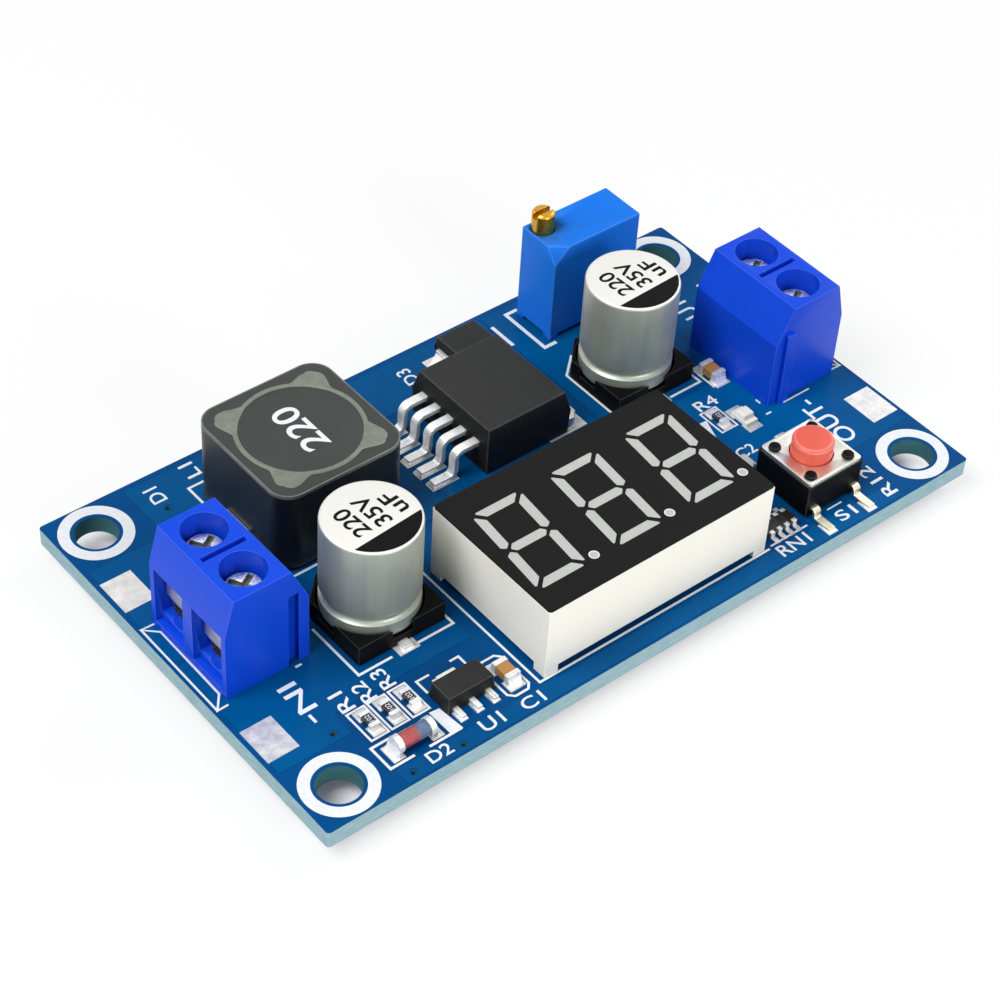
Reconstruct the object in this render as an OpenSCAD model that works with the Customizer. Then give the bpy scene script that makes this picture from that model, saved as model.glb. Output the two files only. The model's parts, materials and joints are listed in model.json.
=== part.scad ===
// Adjustable step-up converter module with a three-digit voltmeter, in millimetres, +Z up.
// X runs from the input terminal to the output terminal, Y from the display's edge to the trimmer's edge.
// The origin lies under the middle of the board, level with the tips of the trimmed pins.
// Places on the board are measured from the board's middle unless the note names an edge.

/* [Board] */
// Length of the board along X
board_l = 66; // [60:0.5:80]
// Width of the board along Y
board_w = 38.4; // [35:0.2:50]
// Thickness of the board
board_t = 1.6; // [1:0.1:2.4]
// Radius of the board's corners
board_corner_r = 0.3; // [0.2:0.1:2]
// Diameter of the mounting holes
mount_hole_d = 3.6; // [3:0.1:4.2]
// Mounting hole's centre to the short edge
mount_inset_x = 3.35; // [3:0.05:4]
// Mounting hole's centre to the long edge
mount_inset_y = 3.2; // [3:0.05:4]
// Length of the trimmed pins below the board
lead_stub = 1.6; // [1.2:0.1:2.5]
// Radius kept clear of parts round a mounting hole
mount_clear_r = 3.05; // [2.5:0.05:3.5]
// Diameter of the vias
via_d = 0.5; // [0.3:0.05:0.8]
// Height of a tinned land above the board
land_t = 0.08; // [0.04:0.01:0.15]
// Reach of a land beyond the chip that stands on it
land_reach = 0.6; // [0.3:0.05:0.9]
// Size of a bare wire land along X
wire_land_l = 2.8; // [2:0.1:3.2]
// Size of a bare wire land along Y
wire_land_w = 3.65; // [2:0.05:4]
// Wire land's middle to the short edge
wire_land_inset = 1.8; // [1.7:0.05:2.4]
// Distance between the two wire lands at one end
wire_land_pitch = 18.7; // [17:0.1:20]
// Middle between those two wire lands
wire_row_y = -0.2; // [-0.5:0.05:0.5]
// Height of a solder fillet round a pin
fillet_h = 0.9; // [0.5:0.1:1.1]
// Reach of a solder fillet beyond its pin
fillet_reach = 0.6; // [0.3:0.05:0.7]

/* [Clearances] */
// Gap round a piece that turns or slides
run_gap = 0.1; // [0.06:0.01:0.15]
// Gap between pieces that are moulded, glued or pressed together
seat_gap = 0.02; // [0.01:0.01:0.04]
// Gap between a pin and its plated hole
hole_gap = 0.15; // [0.05:0.05:0.25]

/* [Screw terminals] */
// Distance between the two poles
terminal_pitch = 5; // [5:0.02:5.08]
// Length of a housing along its row of poles
terminal_l = 9.8; // [9.8:0.1:10.6]
// Height of a housing
terminal_h = 9.9; // [9.2:0.1:12]
// Screw's axis to the wire entry face
terminal_front = 3.45; // [3.3:0.05:4]
// Screw's axis to the back face
terminal_back = 4.15; // [3.2:0.05:4.4]
// Half the depth of the flat top
terminal_top_half = 2.55; // [2.2:0.05:3]
// Height where the sloped shoulders start
terminal_shoulder = 6.5; // [6.4:0.1:7.5]
// Wire entry face to the board's short edge
terminal_setback = 1.5; // [0.5:0.1:2]
// Middle of both housings across the board
terminal_y = 0.4; // [-1:0.1:1]
// Width of a wire entry
entry_w = 3.8; // [3.7:0.05:4]
// Wall left above a wire entry
entry_lintel = 0.2; // [0.1:0.05:0.3]
// Height of the front lip below a wire entry
entry_lip = 0.7; // [0.3:0.1:1]
// Depth of the front lip
entry_lip_depth = 0.6; // [0.3:0.05:0.8]
// Height of the floor that a wire lies on
wire_floor = 1.4; // [1.2:0.1:1.7]
// Radius of the trough that guides a wire
wire_trough_r = 1.6; // [1.2:0.1:1.8]
// Depth of that trough
wire_trough_depth = 0.25; // [0.1:0.05:0.4]
// Depth of a clamp cage along the wire
cage_l = 4.1; // [3.8:0.1:4.3]
// Width of a clamp cage
cage_w = 3.5; // [3.2:0.1:3.6]
// Thickness of a cage's sides
cage_wall = 0.45; // [0.35:0.05:0.5]
// Thickness of a cage's floor
cage_floor = 0.6; // [0.4:0.1:1]
// Thickness of a cage's threaded roof
cage_roof = 1.2; // [1:0.1:1.3]
// Clear height inside a cage
cage_inner_h = 2.9; // [2.8:0.05:3]
// Diameter of a terminal's pin
terminal_pin_d = 1.1; // [0.9:0.1:1.3]
// Thickness of a wire guard's sheet
guard_t = 0.35; // [0.25:0.05:0.4]
// Clear height left for the wire under a guard
wire_space = 1.5; // [1.4:0.05:1.6]
// Height of the guard's upright apron
apron_h = 2.4; // [1.8:0.1:2.4]
// Width of the guard's upright apron
apron_w = 3.4; // [2.8:0.1:3.5]
// Diameter of a clamp screw's thread
screw_d = 2.5; // [2.3:0.1:2.5]
// Diameter of a clamp screw's head
screw_head_d = 3.4; // [3.2:0.1:3.5]
// Height of a clamp screw's head
screw_head_h = 1.25; // [1:0.05:1.4]
// Depth of the head's top below the housing's top
screw_sink = 1.8; // [1.6:0.1:1.8]
// Diameter of a screw's shaft in the housing
screw_hole_d = 3.7; // [3.7:0.05:4]
// Edge cut on the screw's tip and head
screw_edge = 0.3; // [0.1:0.05:0.4]
// Length of the head's crossed driver slots
driver_slot_l = 2.6; // [2:0.1:2.8]
// Turn of the crossed slots at rest, in degrees
driver_slot_turn = 30; // [0:5:85]
// Width of the driver slots
driver_slot_w = 0.55; // [0.4:0.05:0.7]
// Depth of the driver slots
driver_slot_depth = 0.6; // [0.4:0.05:0.7]
// Length of the slot in the housing's top
top_slot_l = 4; // [3:0.1:4.4]
// Width of the slot in the housing's top
top_slot_w = 0.5; // [0.4:0.05:0.8]
// Depth of the slot in the housing's top
top_slot_depth = 0.7; // [0.4:0.1:1.2]
// Width of the dovetail at its root
dovetail_w = 0.75; // [0.6:0.05:0.9]
// Reach of the dovetail from the housing's end
dovetail_reach = 0.4; // [0.3:0.05:0.4]
// Dovetail's middle to the back face
dovetail_inset = 1.4; // [1:0.1:1.8]
// Top of the dovetail above the board
dovetail_top = 7.4; // [6:0.1:7.5]

/* [Trimmer] */
// Length of the case along X
trimmer_l = 9.4; // [9:0.1:10]
// Width of the case along Y
trimmer_w = 4.5; // [4.3:0.1:5]
// Height of the case above the board
trimmer_h = 9.7; // [8:0.1:11]
// Height of the feet under the case
trimmer_foot_h = 0.5; // [0.3:0.1:0.8]
// Size of a foot
trimmer_foot_s = 0.9; // [0.6:0.1:1.2]
// Middle of the case to the board's output end
trimmer_inset = 13.95; // [13.5:0.05:14.5]
// Case's back face to the board's back edge
trimmer_back_gap = 1.85; // [1:0.05:2]
// Diameter of the adjusting screw
trim_screw_d = 2; // [1.8:0.05:2.1]
// Length of the screw above the case
trim_screw_out = 1.9; // [1:0.1:2.2]
// Length of the screw inside the case
trim_screw_in = 2.6; // [2:0.1:4]
// Screw's axis to the case's end and back
trim_screw_inset = 1.22; // [1.22:0.01:1.5]
// Edge cut on the screw's end
trim_screw_edge = 0.2; // [0.1:0.05:0.4]
// Reach of the cut-off top corner along X, Y and Z
trim_corner_cut = [1.5, 1.2, 1.5]; // [0.6:0.1:2.2]
// Diameter of the pins
trim_pin_d = 0.55; // [0.4:0.05:0.7]
// Pitch of the pins
trim_pin_pitch = 2.54; // [2.4:0.02:2.6]

/* [Inductor] */
// Side of the square shield
inductor_s = 12.2; // [11.8:0.1:12.4]
// Height of the inductor
inductor_h = 8; // [5:0.1:9]
// Radius of the shield's upright corners
shield_corner_r = 1.9; // [0.8:0.1:2.2]
// Diameter of the shield's bore
shield_bore_d = 10.7; // [10.4:0.05:11]
// Diameter of the corner pockets that hold adhesive
pocket_d = 2.6; // [2.2:0.1:2.8]
// Depth of the corner pockets
pocket_depth = 1.5; // [0.8:0.1:2]
// Diameter of the drum's flanges
drum_d = 9.9; // [9.4:0.05:10]
// Thickness of the drum's flanges
drum_flange_t = 1.3; // [1:0.1:1.6]
// Diameter of the drum's post
drum_post_d = 4.6; // [4:0.1:6]
// Diameter over the winding
winding_d = 9; // [7:0.1:9.3]
// Depth of the adhesive below the shield's top
adhesive_sink = 0.05; // [0.05:0.05:0.3]
// Width of the two terminals
coil_terminal_w = 3; // [2:0.1:4]
// Length of a terminal under the shield
coil_terminal_l = 2.2; // [1.5:0.1:2.6]
// Height of a terminal up the shield's side
coil_terminal_h = 1.6; // [1:0.1:2.5]
// Thickness of the terminals' strip
coil_terminal_t = 0.25; // [0.2:0.05:0.3]
// Middle of the inductor to the board's back edge
inductor_inset = 9.9; // [8:0.1:10]

/* [Converter] */
// Length of the moulded body along X
converter_l = 8.9; // [8.4:0.1:9]
// Width of the moulded body along Y
converter_w = 10; // [9.7:0.1:10.2]
// Height of the moulded body
converter_h = 4.4; // [4:0.05:4.8]
// Inward lean of the body's upper sides
converter_draft = 0.42; // [0.2:0.02:0.6]
// Inward lean of the body's lower sides
converter_under = 0.1; // [0.06:0.02:0.3]
// Shift of the converter along X from the middle of its room
converter_shift = 0.28; // [-1:0.02:1]
// Middle of the body to the board's back edge
converter_inset = 11.34; // [11:0.02:12]
// Thickness of the heat tab
tab_t = 1.3; // [1:0.05:1.4]
// Reach of the heat tab beyond the body
tab_reach = 1.25; // [0.8:0.05:1.5]
// Width of the heat tab
tab_w = 9.6; // [8:0.1:9.7]
// Width of the heat tab inside the body
tab_neck_w = 7.6; // [6:0.1:7.9]
// Length of the heat tab inside the body
tab_in = 6.8; // [5:0.1:7]
// Reach of the tab's land beyond the tab
tab_land_out = 0.7; // [0.3:0.05:1]
// Length of the tab's land under the body
tab_land_in = 2; // [1:0.1:4]
// Pitch of the leads
lead_pitch = 1.7; // [1.6:0.02:1.8]
// Width of the leads
lead_w = 0.8; // [0.6:0.05:0.95]
// Thickness of the leads
lead_t = 0.5; // [0.4:0.05:0.6]
// Height where the leads leave the body
lead_exit = 2.6; // [2.2:0.05:2.8]
// Body to the middle of the leads' upright run
lead_run = 2.15; // [1.6:0.05:2.3]
// Body to the tips of the leads
lead_reach = 4.35; // [3.8:0.05:4.5]
// Bend radius of the leads
lead_bend_r = 0.65; // [0.5:0.05:0.8]
// Length of the leads inside the body
lead_in = 0.6; // [0.4:0.1:0.8]
// Corner cut on the free end of the heat tab
tab_cut = 0.6; // [0.3:0.1:1]

/* [Rectifier diode] */
// Length of the body along X
diode_l = 4.4; // [4.2:0.1:4.6]
// Width of the body along Y
diode_w = 3.4; // [2.6:0.1:3.6]
// Height of the body
diode_h = 2.1; // [1.9:0.1:2.4]
// Lean of the body's sides
diode_draft = 0.22; // [0.1:0.02:0.3]
// Thickness of the terminals' strip
diode_strip_t = 0.22; // [0.15:0.01:0.25]
// Width of the terminals' strip
diode_strip_w = 2; // [1.4:0.1:2.2]
// Length of a terminal under the body
diode_foot = 1.1; // [0.8:0.1:1.3]
// Reach of a land beyond the diode's end
diode_land_out = 1.1; // [0.5:0.05:1.2]
// Width of the diode's lands
diode_land_w = 3; // [2:0.1:3.4]
// Middle of the diode along X from the converter's middle
diode_shift = 3.5; // [3:0.05:4.2]
// Middle of the body to the board's back edge
diode_inset = 3.65; // [3.2:0.05:3.8]

/* [Electrolytic capacitors] */
// Diameter of a can
can_d = 8; // [7.6:0.1:8.2]
// Height of a capacitor above its lands
can_h = 10.2; // [8:0.1:12]
// Radius of the can's top edge
can_edge_r = 0.3; // [0.2:0.05:0.8]
// Height of the groove's middle above the can's bottom
can_groove_z = 1.75; // [1.5:0.05:2.2]
// Radius of the groove
can_groove_r = 0.5; // [0.3:0.05:0.6]
// Depth of the groove
can_groove_depth = 0.3; // [0.15:0.05:0.3]
// Side of the square base
can_base_s = 8.3; // [8.3:0.1:8.6]
// Thickness of the base under the can
can_base_t = 0.9; // [0.8:0.1:1.4]
// Height of the base's corner posts
can_post_h = 1.9; // [1.4:0.1:2.1]
// Corner cut on the base's positive side
can_base_cut = 2; // [1.2:0.1:2.2]
// Width of a lead
can_lead_w = 0.9; // [0.6:0.1:1.2]
// Thickness of a lead
can_lead_t = 0.3; // [0.2:0.05:0.4]
// Reach of a lead beyond the base
can_lead_out = 0.8; // [0.5:0.1:1]
// Distance of a lead's inner end from the can's axis
can_lead_in = 1.5; // [1.2:0.1:2]
// Share of the free room along Y that lies behind the input capacitor
in_can_share = 0.33; // [0.2:0.01:0.8]
// Middle of the output capacitor to the board's back edge
out_can_inset = 13.2; // [12.8:0.05:14]

/* [Display] */
// Length of the housing along X
display_l = 22.9; // [22.5:0.1:23.2]
// Width of the housing along Y
display_w = 14; // [13.8:0.1:14.2]
// Height of the display above the board
display_h = 7.2; // [6.8:0.05:8]
// Gap under the housing's edges between its corner feet
display_foot_h = 0.75; // [0.5:0.05:1]
// Length of a corner foot
display_foot_l = 1.3; // [1:0.1:2]
// Thickness of the housing's walls
display_wall = 0.9; // [0.7:0.05:1.1]
// Height of the backing board's underside
backing_z = 1.75; // [1.6:0.05:2]
// Thickness of the backing board
backing_t = 1; // [0.8:0.1:1.2]
// Thickness of the black face film
face_t = 0.15; // [0.1:0.05:0.3]
// Shift of the display along X from the board's middle
display_shift = 0.35; // [0:0.05:0.6]
// Housing's front face to the board's front edge
display_front = 2.25; // [2:0.05:3]
// Height of a digit
digit_h = 9.14; // [8.6:0.02:9.4]
// Width of a digit between the middles of its upright strokes
digit_w = 4.05; // [3.6:0.05:4.4]
// Distance from digit to digit
digit_pitch = 7.7; // [7.4:0.05:7.8]
// Shift of the digits from the housing's middle
digit_shift = [-0.4, -0.08]; // [-0.6:0.02:0.2]
// Lean of the digits in degrees
digit_slant = 8; // [0:0.5:10]
// Width of a stroke
stroke_w = 0.95; // [0.7:0.05:1.1]
// Gap between the ends of two strokes
stroke_gap = 0.22; // [0.12:0.02:0.35]
// Diameter of a decimal point
point_d = 1.1; // [0.8:0.05:1.3]
// Decimal point's middle from the digit's middle
point_offset = [3.75, -4.25]; // [-4.5:0.05:4]
// Diameter of the display's pins
display_pin_d = 0.5; // [0.4:0.05:0.6]
// Pitch of the pins in a row
display_pin_pitch = 2.54; // [2.5:0.02:2.58]
// Pins in each of the two rows
display_pin_count = 6; // [5:1:7]
// Distance between the two rows of pins
display_row_gap = 10.16; // [9.6:0.02:10.4]

/* [Voltmeter chip] */
// Length of the body along X
meter_l = 6.5; // [6.3:0.1:6.7]
// Width of the body along Y
meter_w = 4.4; // [4.2:0.1:4.5]
// Height of the body above its lands
meter_h = 1.05; // [0.9:0.05:1.15]
// Gap between the lands and the body
meter_lift = 0.1; // [0.05:0.01:0.15]
// Pitch of the leads
meter_pitch = 0.65; // [0.64:0.01:0.66]
// Leads on each side
meter_lead_count = 10; // [8:1:10]
// Width of a lead
meter_lead_w = 0.24; // [0.2:0.01:0.3]
// Thickness of a lead
meter_lead_t = 0.12; // [0.1:0.01:0.15]
// Body to the middle of a lead's upright run
meter_lead_run = 0.35; // [0.3:0.01:0.4]
// Body to the tip of a lead
meter_lead_reach = 1; // [0.8:0.05:1.1]
// Bend radius of a lead
meter_bend_r = 0.15; // [0.1:0.01:0.17]
// Lean of the body's sides
meter_draft = 0.08; // [0.04:0.01:0.12]

/* [Push switch] */
// Side of the square base
switch_s = 6; // [5.8:0.1:6.2]
// Height of the base
switch_base_h = 3.2; // [3:0.05:3.4]
// Thickness of the steel cover
switch_cover_t = 0.3; // [0.2:0.05:0.4]
// Side of the steel cover
switch_cover_s = 5.85; // [5.6:0.05:6]
// Diameter of the pegs that hold the cover
switch_peg_d = 1; // [0.8:0.05:1.1]
// Height of the pegs above the cover
switch_peg_out = 0.22; // [0.1:0.02:0.3]
// Pegs' distance from the middle along X and Y
switch_peg_at = 2.1; // [2.05:0.05:2.2]
// Diameter of the button
button_d = 3.5; // [3.2:0.05:3.6]
// Diameter of the button's flange
button_flange_d = 4.4; // [4.2:0.05:4.6]
// Thickness of the button's flange
button_flange_t = 0.7; // [0.5:0.05:0.9]
// Height of the button's top
button_top = 5; // [4.3:0.05:6]
// Travel of the button
button_travel = 0.25; // [0.2:0.01:0.35]
// Diameter of the contact dome
dome_d = 3.8; // [3.6:0.05:4]
// Rise of the contact dome
dome_rise = 0.4; // [0.3:0.02:0.5]
// Thickness of the contact dome
dome_t = 0.1; // [0.08:0.01:0.12]
// Pitch of the legs along X
switch_leg_pitch = 4.5; // [4.4:0.05:4.6]
// Width of a leg
switch_leg_w = 0.75; // [0.6:0.05:0.9]
// Thickness of a leg
switch_leg_t = 0.3; // [0.2:0.05:0.35]
// Height where a leg leaves the base
switch_leg_z = 0.9; // [0.85:0.05:1.3]
// Base to the middle of a leg's upright run
switch_leg_run = 0.5; // [0.45:0.05:0.9]
// Base to the tip of a leg
switch_leg_reach = 2.35; // [1.8:0.05:2.5]
// Bend radius of a leg
switch_bend_r = 0.3; // [0.2:0.02:0.34]
// Length of a land under a leg
switch_land_l = 1.4; // [1:0.1:1.6]
// Gap between the board's lands and the base
switch_lift = 0.1; // [0.05:0.05:0.2]
// Radius of the cover's corners
switch_cover_r = 0.35; // [0.1:0.05:0.6]
// Edge cut on the button's top
button_edge = 0.2; // [0.1:0.05:0.4]
// Gap between the resistor array and the switch
switch_gap = 0.8; // [0.5:0.05:2]
// Middle of the switch to the board's front edge
switch_inset = 5.95; // [5.8:0.05:6.5]

/* [Voltmeter regulator] */
// Length of the body along X
regulator_l = 4.5; // [4.3:0.1:4.6]
// Width of the body along Y
regulator_w = 2.45; // [2.3:0.05:2.6]
// Height of the body
regulator_h = 1.5; // [1.3:0.05:1.7]
// Lean of the body's sides
regulator_draft = 0.14; // [0.08:0.02:0.2]
// Pitch of the leads
regulator_pitch = 1.55; // [1.5:0.05:1.6]
// Width of the leads
regulator_lead_w = 0.48; // [0.4:0.02:0.6]
// Thickness of the leads
regulator_lead_t = 0.4; // [0.3:0.05:0.44]
// Reach of the leads beyond the body
regulator_lead_out = 1; // [0.8:0.05:1.1]
// Width of the tab
regulator_tab_w = 1.7; // [1.4:0.1:2]
// Reach of the tab beyond the body
regulator_tab_out = 0.9; // [0.5:0.1:1.1]
// Middle of the regulator to the display's side
regulator_gap = 5.9; // [5.6:0.05:7]
// Middle of the regulator to the board's front edge
regulator_inset = 4.85; // [4:0.05:5]

/* [Small parts] */
// Length, width and height of a chip resistor
resistor_size = [1.6, 0.85, 0.5]; // [0.4:0.05:2]
// Length, width and height of a ceramic chip capacitor
ceramic_size = [2, 1.25, 0.95]; // [0.6:0.05:2.2]
// Length of a resistor's end caps
resistor_cap_l = 0.35; // [0.2:0.05:0.5]
// Length of a ceramic capacitor's end caps
ceramic_cap_l = 0.45; // [0.3:0.05:0.6]
// Thickness of the end caps' metal
cap_skin = 0.06; // [0.03:0.01:0.1]
// Regulator's side to the nearest of the row of three chip resistors
resistor_row_gap = 1.35; // [1:0.05:2]
// Distance between the resistors of that row
resistor_row_pitch = 1.9; // [1.6:0.05:2]
// That row's middle to the board's front edge
resistor_row_inset = 6.6; // [6.2:0.05:7]
// Single chip resistor's middle from the output terminal's back and middle
resistor_from_terminal = [4.5, -3.7]; // [-4.5:0.05:5]
// Front ceramic capacitor's middle to the display's side and the board's front edge
ceramic_inset = [2.2, 4.2]; // [1.8:0.05:4.6]
// Share of the spare room beside the back ceramic capacitor that lies on the output capacitor's side
ceramic_share = 0.68; // [0.1:0.02:0.9]
// Back ceramic capacitor's middle from the output terminal's middle
ceramic_shift = 0.85; // [0.5:0.05:1.3]
// Length of the glass diode over its caps
zener_l = 3.5; // [3.3:0.1:3.7]
// Diameter of the glass diode's caps
zener_cap_d = 1.5; // [1.4:0.05:1.6]
// Diameter of the glass
zener_glass_d = 1.36; // [1.2:0.02:1.4]
// Length of the glass diode's caps
zener_cap_l = 0.5; // [0.4:0.05:0.7]
// Middle of the glass diode to the board's front edge
zener_inset = 3.2; // [2.5:0.05:3.6]
// Length, width and height of the resistor array
array_size = [3.2, 1.6, 0.5]; // [0.4:0.05:3.4]
// Pitch of the array's ends
array_pitch = 0.8; // [0.78:0.01:0.82]
// Ends along each long side of the array
array_end_count = 4; // [3:1:4]
// Width of the array's ends
array_end_w = 0.42; // [0.3:0.02:0.5]
// Length of the array's ends
array_end_l = 0.35; // [0.2:0.05:0.5]
// Gap between the display and the resistor array
array_gap = 1.15; // [0.5:0.05:2]
// Middle of the resistor array to the board's front edge
array_inset = 3.75; // [3:0.05:4.5]
// Length, width and height of the indicator's base
led_base_size = [2, 1.25, 0.4]; // [0.3:0.05:2.2]
// Length of the indicator's lens
led_lens_l = 1.2; // [1:0.05:1.4]
// Height of the indicator's lens
led_lens_h = 0.5; // [0.3:0.05:0.7]
// Lean of the lens's sides
led_lens_draft = 0.1; // [0:0.05:0.2]
// Indicator's middle from the output terminal's back and middle
led_from_terminal = [2.7, -4.9]; // [-5.5:0.05:3]

/* [Hidden] */
$fn = 48;
// Overshoot of a cut past the face that it opens
cut = 1;
// Inward reach of a terminal's strip into its moulded body
strip_in = 0.4;
// Margin of a land round the foot that stands on it
land_margin = 0.25;
// Vias' distances from the board's input end, and from its front or back edge
front_vias = [[5.9, 7.35], [8.4, 0.9], [13, 0.8]];
back_vias = [[9.5, 4.15]];

board_top = lead_stub + board_t;
land_top = board_top + land_t;
pin_drop = lead_stub + board_t;

input_side = -1;
output_side = 1;
sides = [input_side, output_side];
positive = 1;
negative = -1;
poles = [positive, negative];
terminal_axis_x = board_l / 2 - terminal_setback - terminal_front;
entry_top = terminal_shoulder - entry_lintel;
cage_bottom = wire_floor - cage_floor;
cage_top = wire_floor + cage_inner_h + cage_roof;
guard_bottom = wire_floor + wire_space;
screw_tip = guard_bottom + guard_t + seat_gap;
screw_head_top = terminal_h - screw_sink;
screw_head_bottom = screw_head_top - screw_head_h;
terminal_inner_x = terminal_axis_x - terminal_back;

trimmer_x = board_l / 2 - trimmer_inset;
trimmer_y = board_w / 2 - trimmer_back_gap - trimmer_w / 2;
trim_screw_at = [trimmer_x - trimmer_l / 2 + trim_screw_inset, trimmer_y + trimmer_w / 2 - trim_screw_inset];
shield_lift = coil_terminal_t + seat_gap;
shield_h = inductor_h - shield_lift;
display_inner_l = display_l - 2 * display_wall;
display_inner_w = display_w - 2 * display_wall;

// Back row: inductor, converter and output capacitor, with equal gaps from terminal to terminal
inductor_room = inductor_s + 2 * coil_terminal_t + 2 * seat_gap;
converter_room = lead_reach + converter_l + tab_reach + tab_land_out;
row_gap = (2 * terminal_inner_x - inductor_room - converter_room - can_base_s) / 4;
inductor_at = [-terminal_inner_x + row_gap + inductor_room / 2, board_w / 2 - inductor_inset];
converter_start = inductor_at[0] + inductor_room / 2 + row_gap + lead_reach;
converter_x = converter_start + converter_l / 2 + converter_shift;
converter_y = board_w / 2 - converter_inset;
converter_at = [converter_x, converter_y];
diode_at = [converter_x + diode_shift, board_w / 2 - diode_inset];
out_can_at = [terminal_inner_x - row_gap - can_base_s / 2, board_w / 2 - out_can_inset];

// Front row: the display near the middle, and what stands at its two sides in turn
front_edge = -board_w / 2;
display_at = [display_shift, front_edge + display_front + display_w / 2];
display_left = display_at[0] - display_l / 2;
display_right = display_at[0] + display_l / 2;
array_at = [display_right + array_gap + array_size[0] / 2, front_edge + array_inset];
switch_at = [array_at[0] + array_size[0] / 2 + switch_gap + switch_s / 2, front_edge + switch_inset];
ceramic_front_at = [display_left - ceramic_inset[0], front_edge + ceramic_inset[1]];
regulator_at = [display_left - regulator_gap, front_edge + regulator_inset];
regulator_left = regulator_at[0] - regulator_l / 2;
zener_at = [(regulator_left - board_l / 2 + mount_inset_x + mount_clear_r) / 2, front_edge + zener_inset];
resistor_row_at = [regulator_left - resistor_row_gap, front_edge + resistor_row_inset];

// Input capacitor: midway from terminal to display, between the inductor and the regulator's tab
can_half = can_base_s / 2 + can_lead_out;
can_room_back = inductor_at[1] - inductor_s / 2;
can_room_front = regulator_at[1] + regulator_w / 2 + regulator_tab_out;
can_spare = can_room_back - can_room_front - 2 * can_half;
in_can_at = [(display_left - terminal_inner_x) / 2, can_room_back - in_can_share * can_spare - can_half];

// Small parts beside the output terminal
output_back = [terminal_inner_x, terminal_y];
resistor_at = output_back + [-resistor_from_terminal[0], resistor_from_terminal[1]];
ceramic_spare = row_gap - ceramic_size[1];
ceramic_back_x = terminal_inner_x - (1 - ceramic_share) * ceramic_spare - ceramic_size[1] / 2;
ceramic_back_at = [ceramic_back_x, terminal_y + ceramic_shift];
led_at = output_back + [-led_from_terminal[0], led_from_terminal[1]];

cover_top = switch_base_h + switch_cover_t;
flange_top = switch_base_h - run_gap / 2;
nub_bottom = flange_top - button_flange_t;
dome_top = nub_bottom - button_travel - run_gap / 2;
well_floor = dome_top - dome_rise;
dome_sphere_r = (pow(dome_d / 2, 2) + pow(dome_rise, 2)) / (2 * dome_rise);

mount_points = [for (x = sides, y = poles)
    [x * (board_l / 2 - mount_inset_x), y * (board_w / 2 - mount_inset_y)]];
via_points = concat(
    [for (v = front_vias) [v[0] - board_l / 2, front_edge + v[1]]],
    [for (v = back_vias) [v[0] - board_l / 2, board_w / 2 - v[1]]]);
display_columns = [for (i = [0:display_pin_count - 1]) (i - (display_pin_count - 1) / 2) * display_pin_pitch];
terminal_pin_points = [for (s = sides, p = poles)
    [s * terminal_axis_x, terminal_y + p * terminal_pitch / 2, terminal_pin_d]];
trimmer_pin_points = [for (i = [-1:1]) [trimmer_x + i * trim_pin_pitch, trimmer_y, trim_pin_d]];
display_pin_points = [for (x = display_columns, p = poles)
    [display_at[0] + x, display_at[1] + p * display_row_gap / 2, display_pin_d]];
pin_points = concat(terminal_pin_points, trimmer_pin_points, display_pin_points);

resistor_row = [for (i = [0:2]) resistor_row_at - [i * resistor_row_pitch, 0]];
resistor_points = concat(resistor_row, [resistor_at]);
ceramic_points = [ceramic_front_at, ceramic_back_at];
array_columns = [for (i = [0:array_end_count - 1]) (i - (array_end_count - 1) / 2) * array_pitch];
meter_columns = [for (i = [0:meter_lead_count - 1]) (i - (meter_lead_count - 1) / 2) * meter_pitch];

// Points on an arc about c, from angle a0 to angle a1
function arc(c, r, a0, a1, steps = 5) =
    [for (i = [0:steps]) let (a = a0 + (a1 - a0) * i / steps) c + r * [cos(a), sin(a)]];

// Lands are [x, y, size along X, size along Y]; these two lie under the ends of a chip along Y
function end_lands(at, size, cap_l) =
    let (inner = size[0] / 2 - cap_l - land_margin / 2, outer = size[0] / 2 + land_reach)
    [for (e = poles) [at[0], at[1] + e * (inner + outer) / 2, size[1] + land_margin, outer - inner]];

wire_lands = [for (s = sides, p = poles)
    [s * (board_l / 2 - wire_land_inset), wire_row_y + p * wire_land_pitch / 2, wire_land_l, wire_land_w]];
converter_foot_l = lead_reach - lead_run;
converter_foot_x = converter_x - converter_l / 2 - (lead_reach + lead_run) / 2;
converter_lands = concat(
    [for (i = [-2:2]) [converter_foot_x, converter_y + i * lead_pitch,
     converter_foot_l + 2 * land_margin, lead_w + land_margin]],
    [[converter_x + converter_l / 2 + (tab_reach + tab_land_out - tab_land_in) / 2, converter_y,
      tab_land_in + tab_reach + tab_land_out, tab_w + 2 * land_margin]]);
diode_end = diode_l / 2 + diode_strip_t;
diode_lands = [for (e = sides)
    [diode_at[0] + e * (diode_end + (diode_land_out - diode_foot - land_margin) / 2), diode_at[1],
     diode_land_out + diode_foot + land_margin, diode_land_w]];
function can_lands(at) = [for (e = poles)
    [at[0], at[1] + e * (can_base_s / 2 + can_lead_out + can_lead_in) / 2,
     can_lead_w + 4 * land_margin, can_base_s / 2 + can_lead_out - can_lead_in + 2 * land_margin]];
coil_lands = [for (e = sides)
    [inductor_at[0] + e * (inductor_s / 2 + coil_terminal_t - coil_terminal_l / 2), inductor_at[1],
     coil_terminal_l + 2 * land_margin, coil_terminal_w + 2 * land_margin]];
switch_lands = [for (x = sides, y = poles)
    [switch_at[0] + x * switch_leg_pitch / 2,
     switch_at[1] + y * (switch_s / 2 + switch_leg_reach + land_margin - switch_land_l / 2),
     switch_leg_w + land_margin, switch_land_l]];
regulator_lead_y = -regulator_w / 2 - regulator_lead_out / 2;
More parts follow.
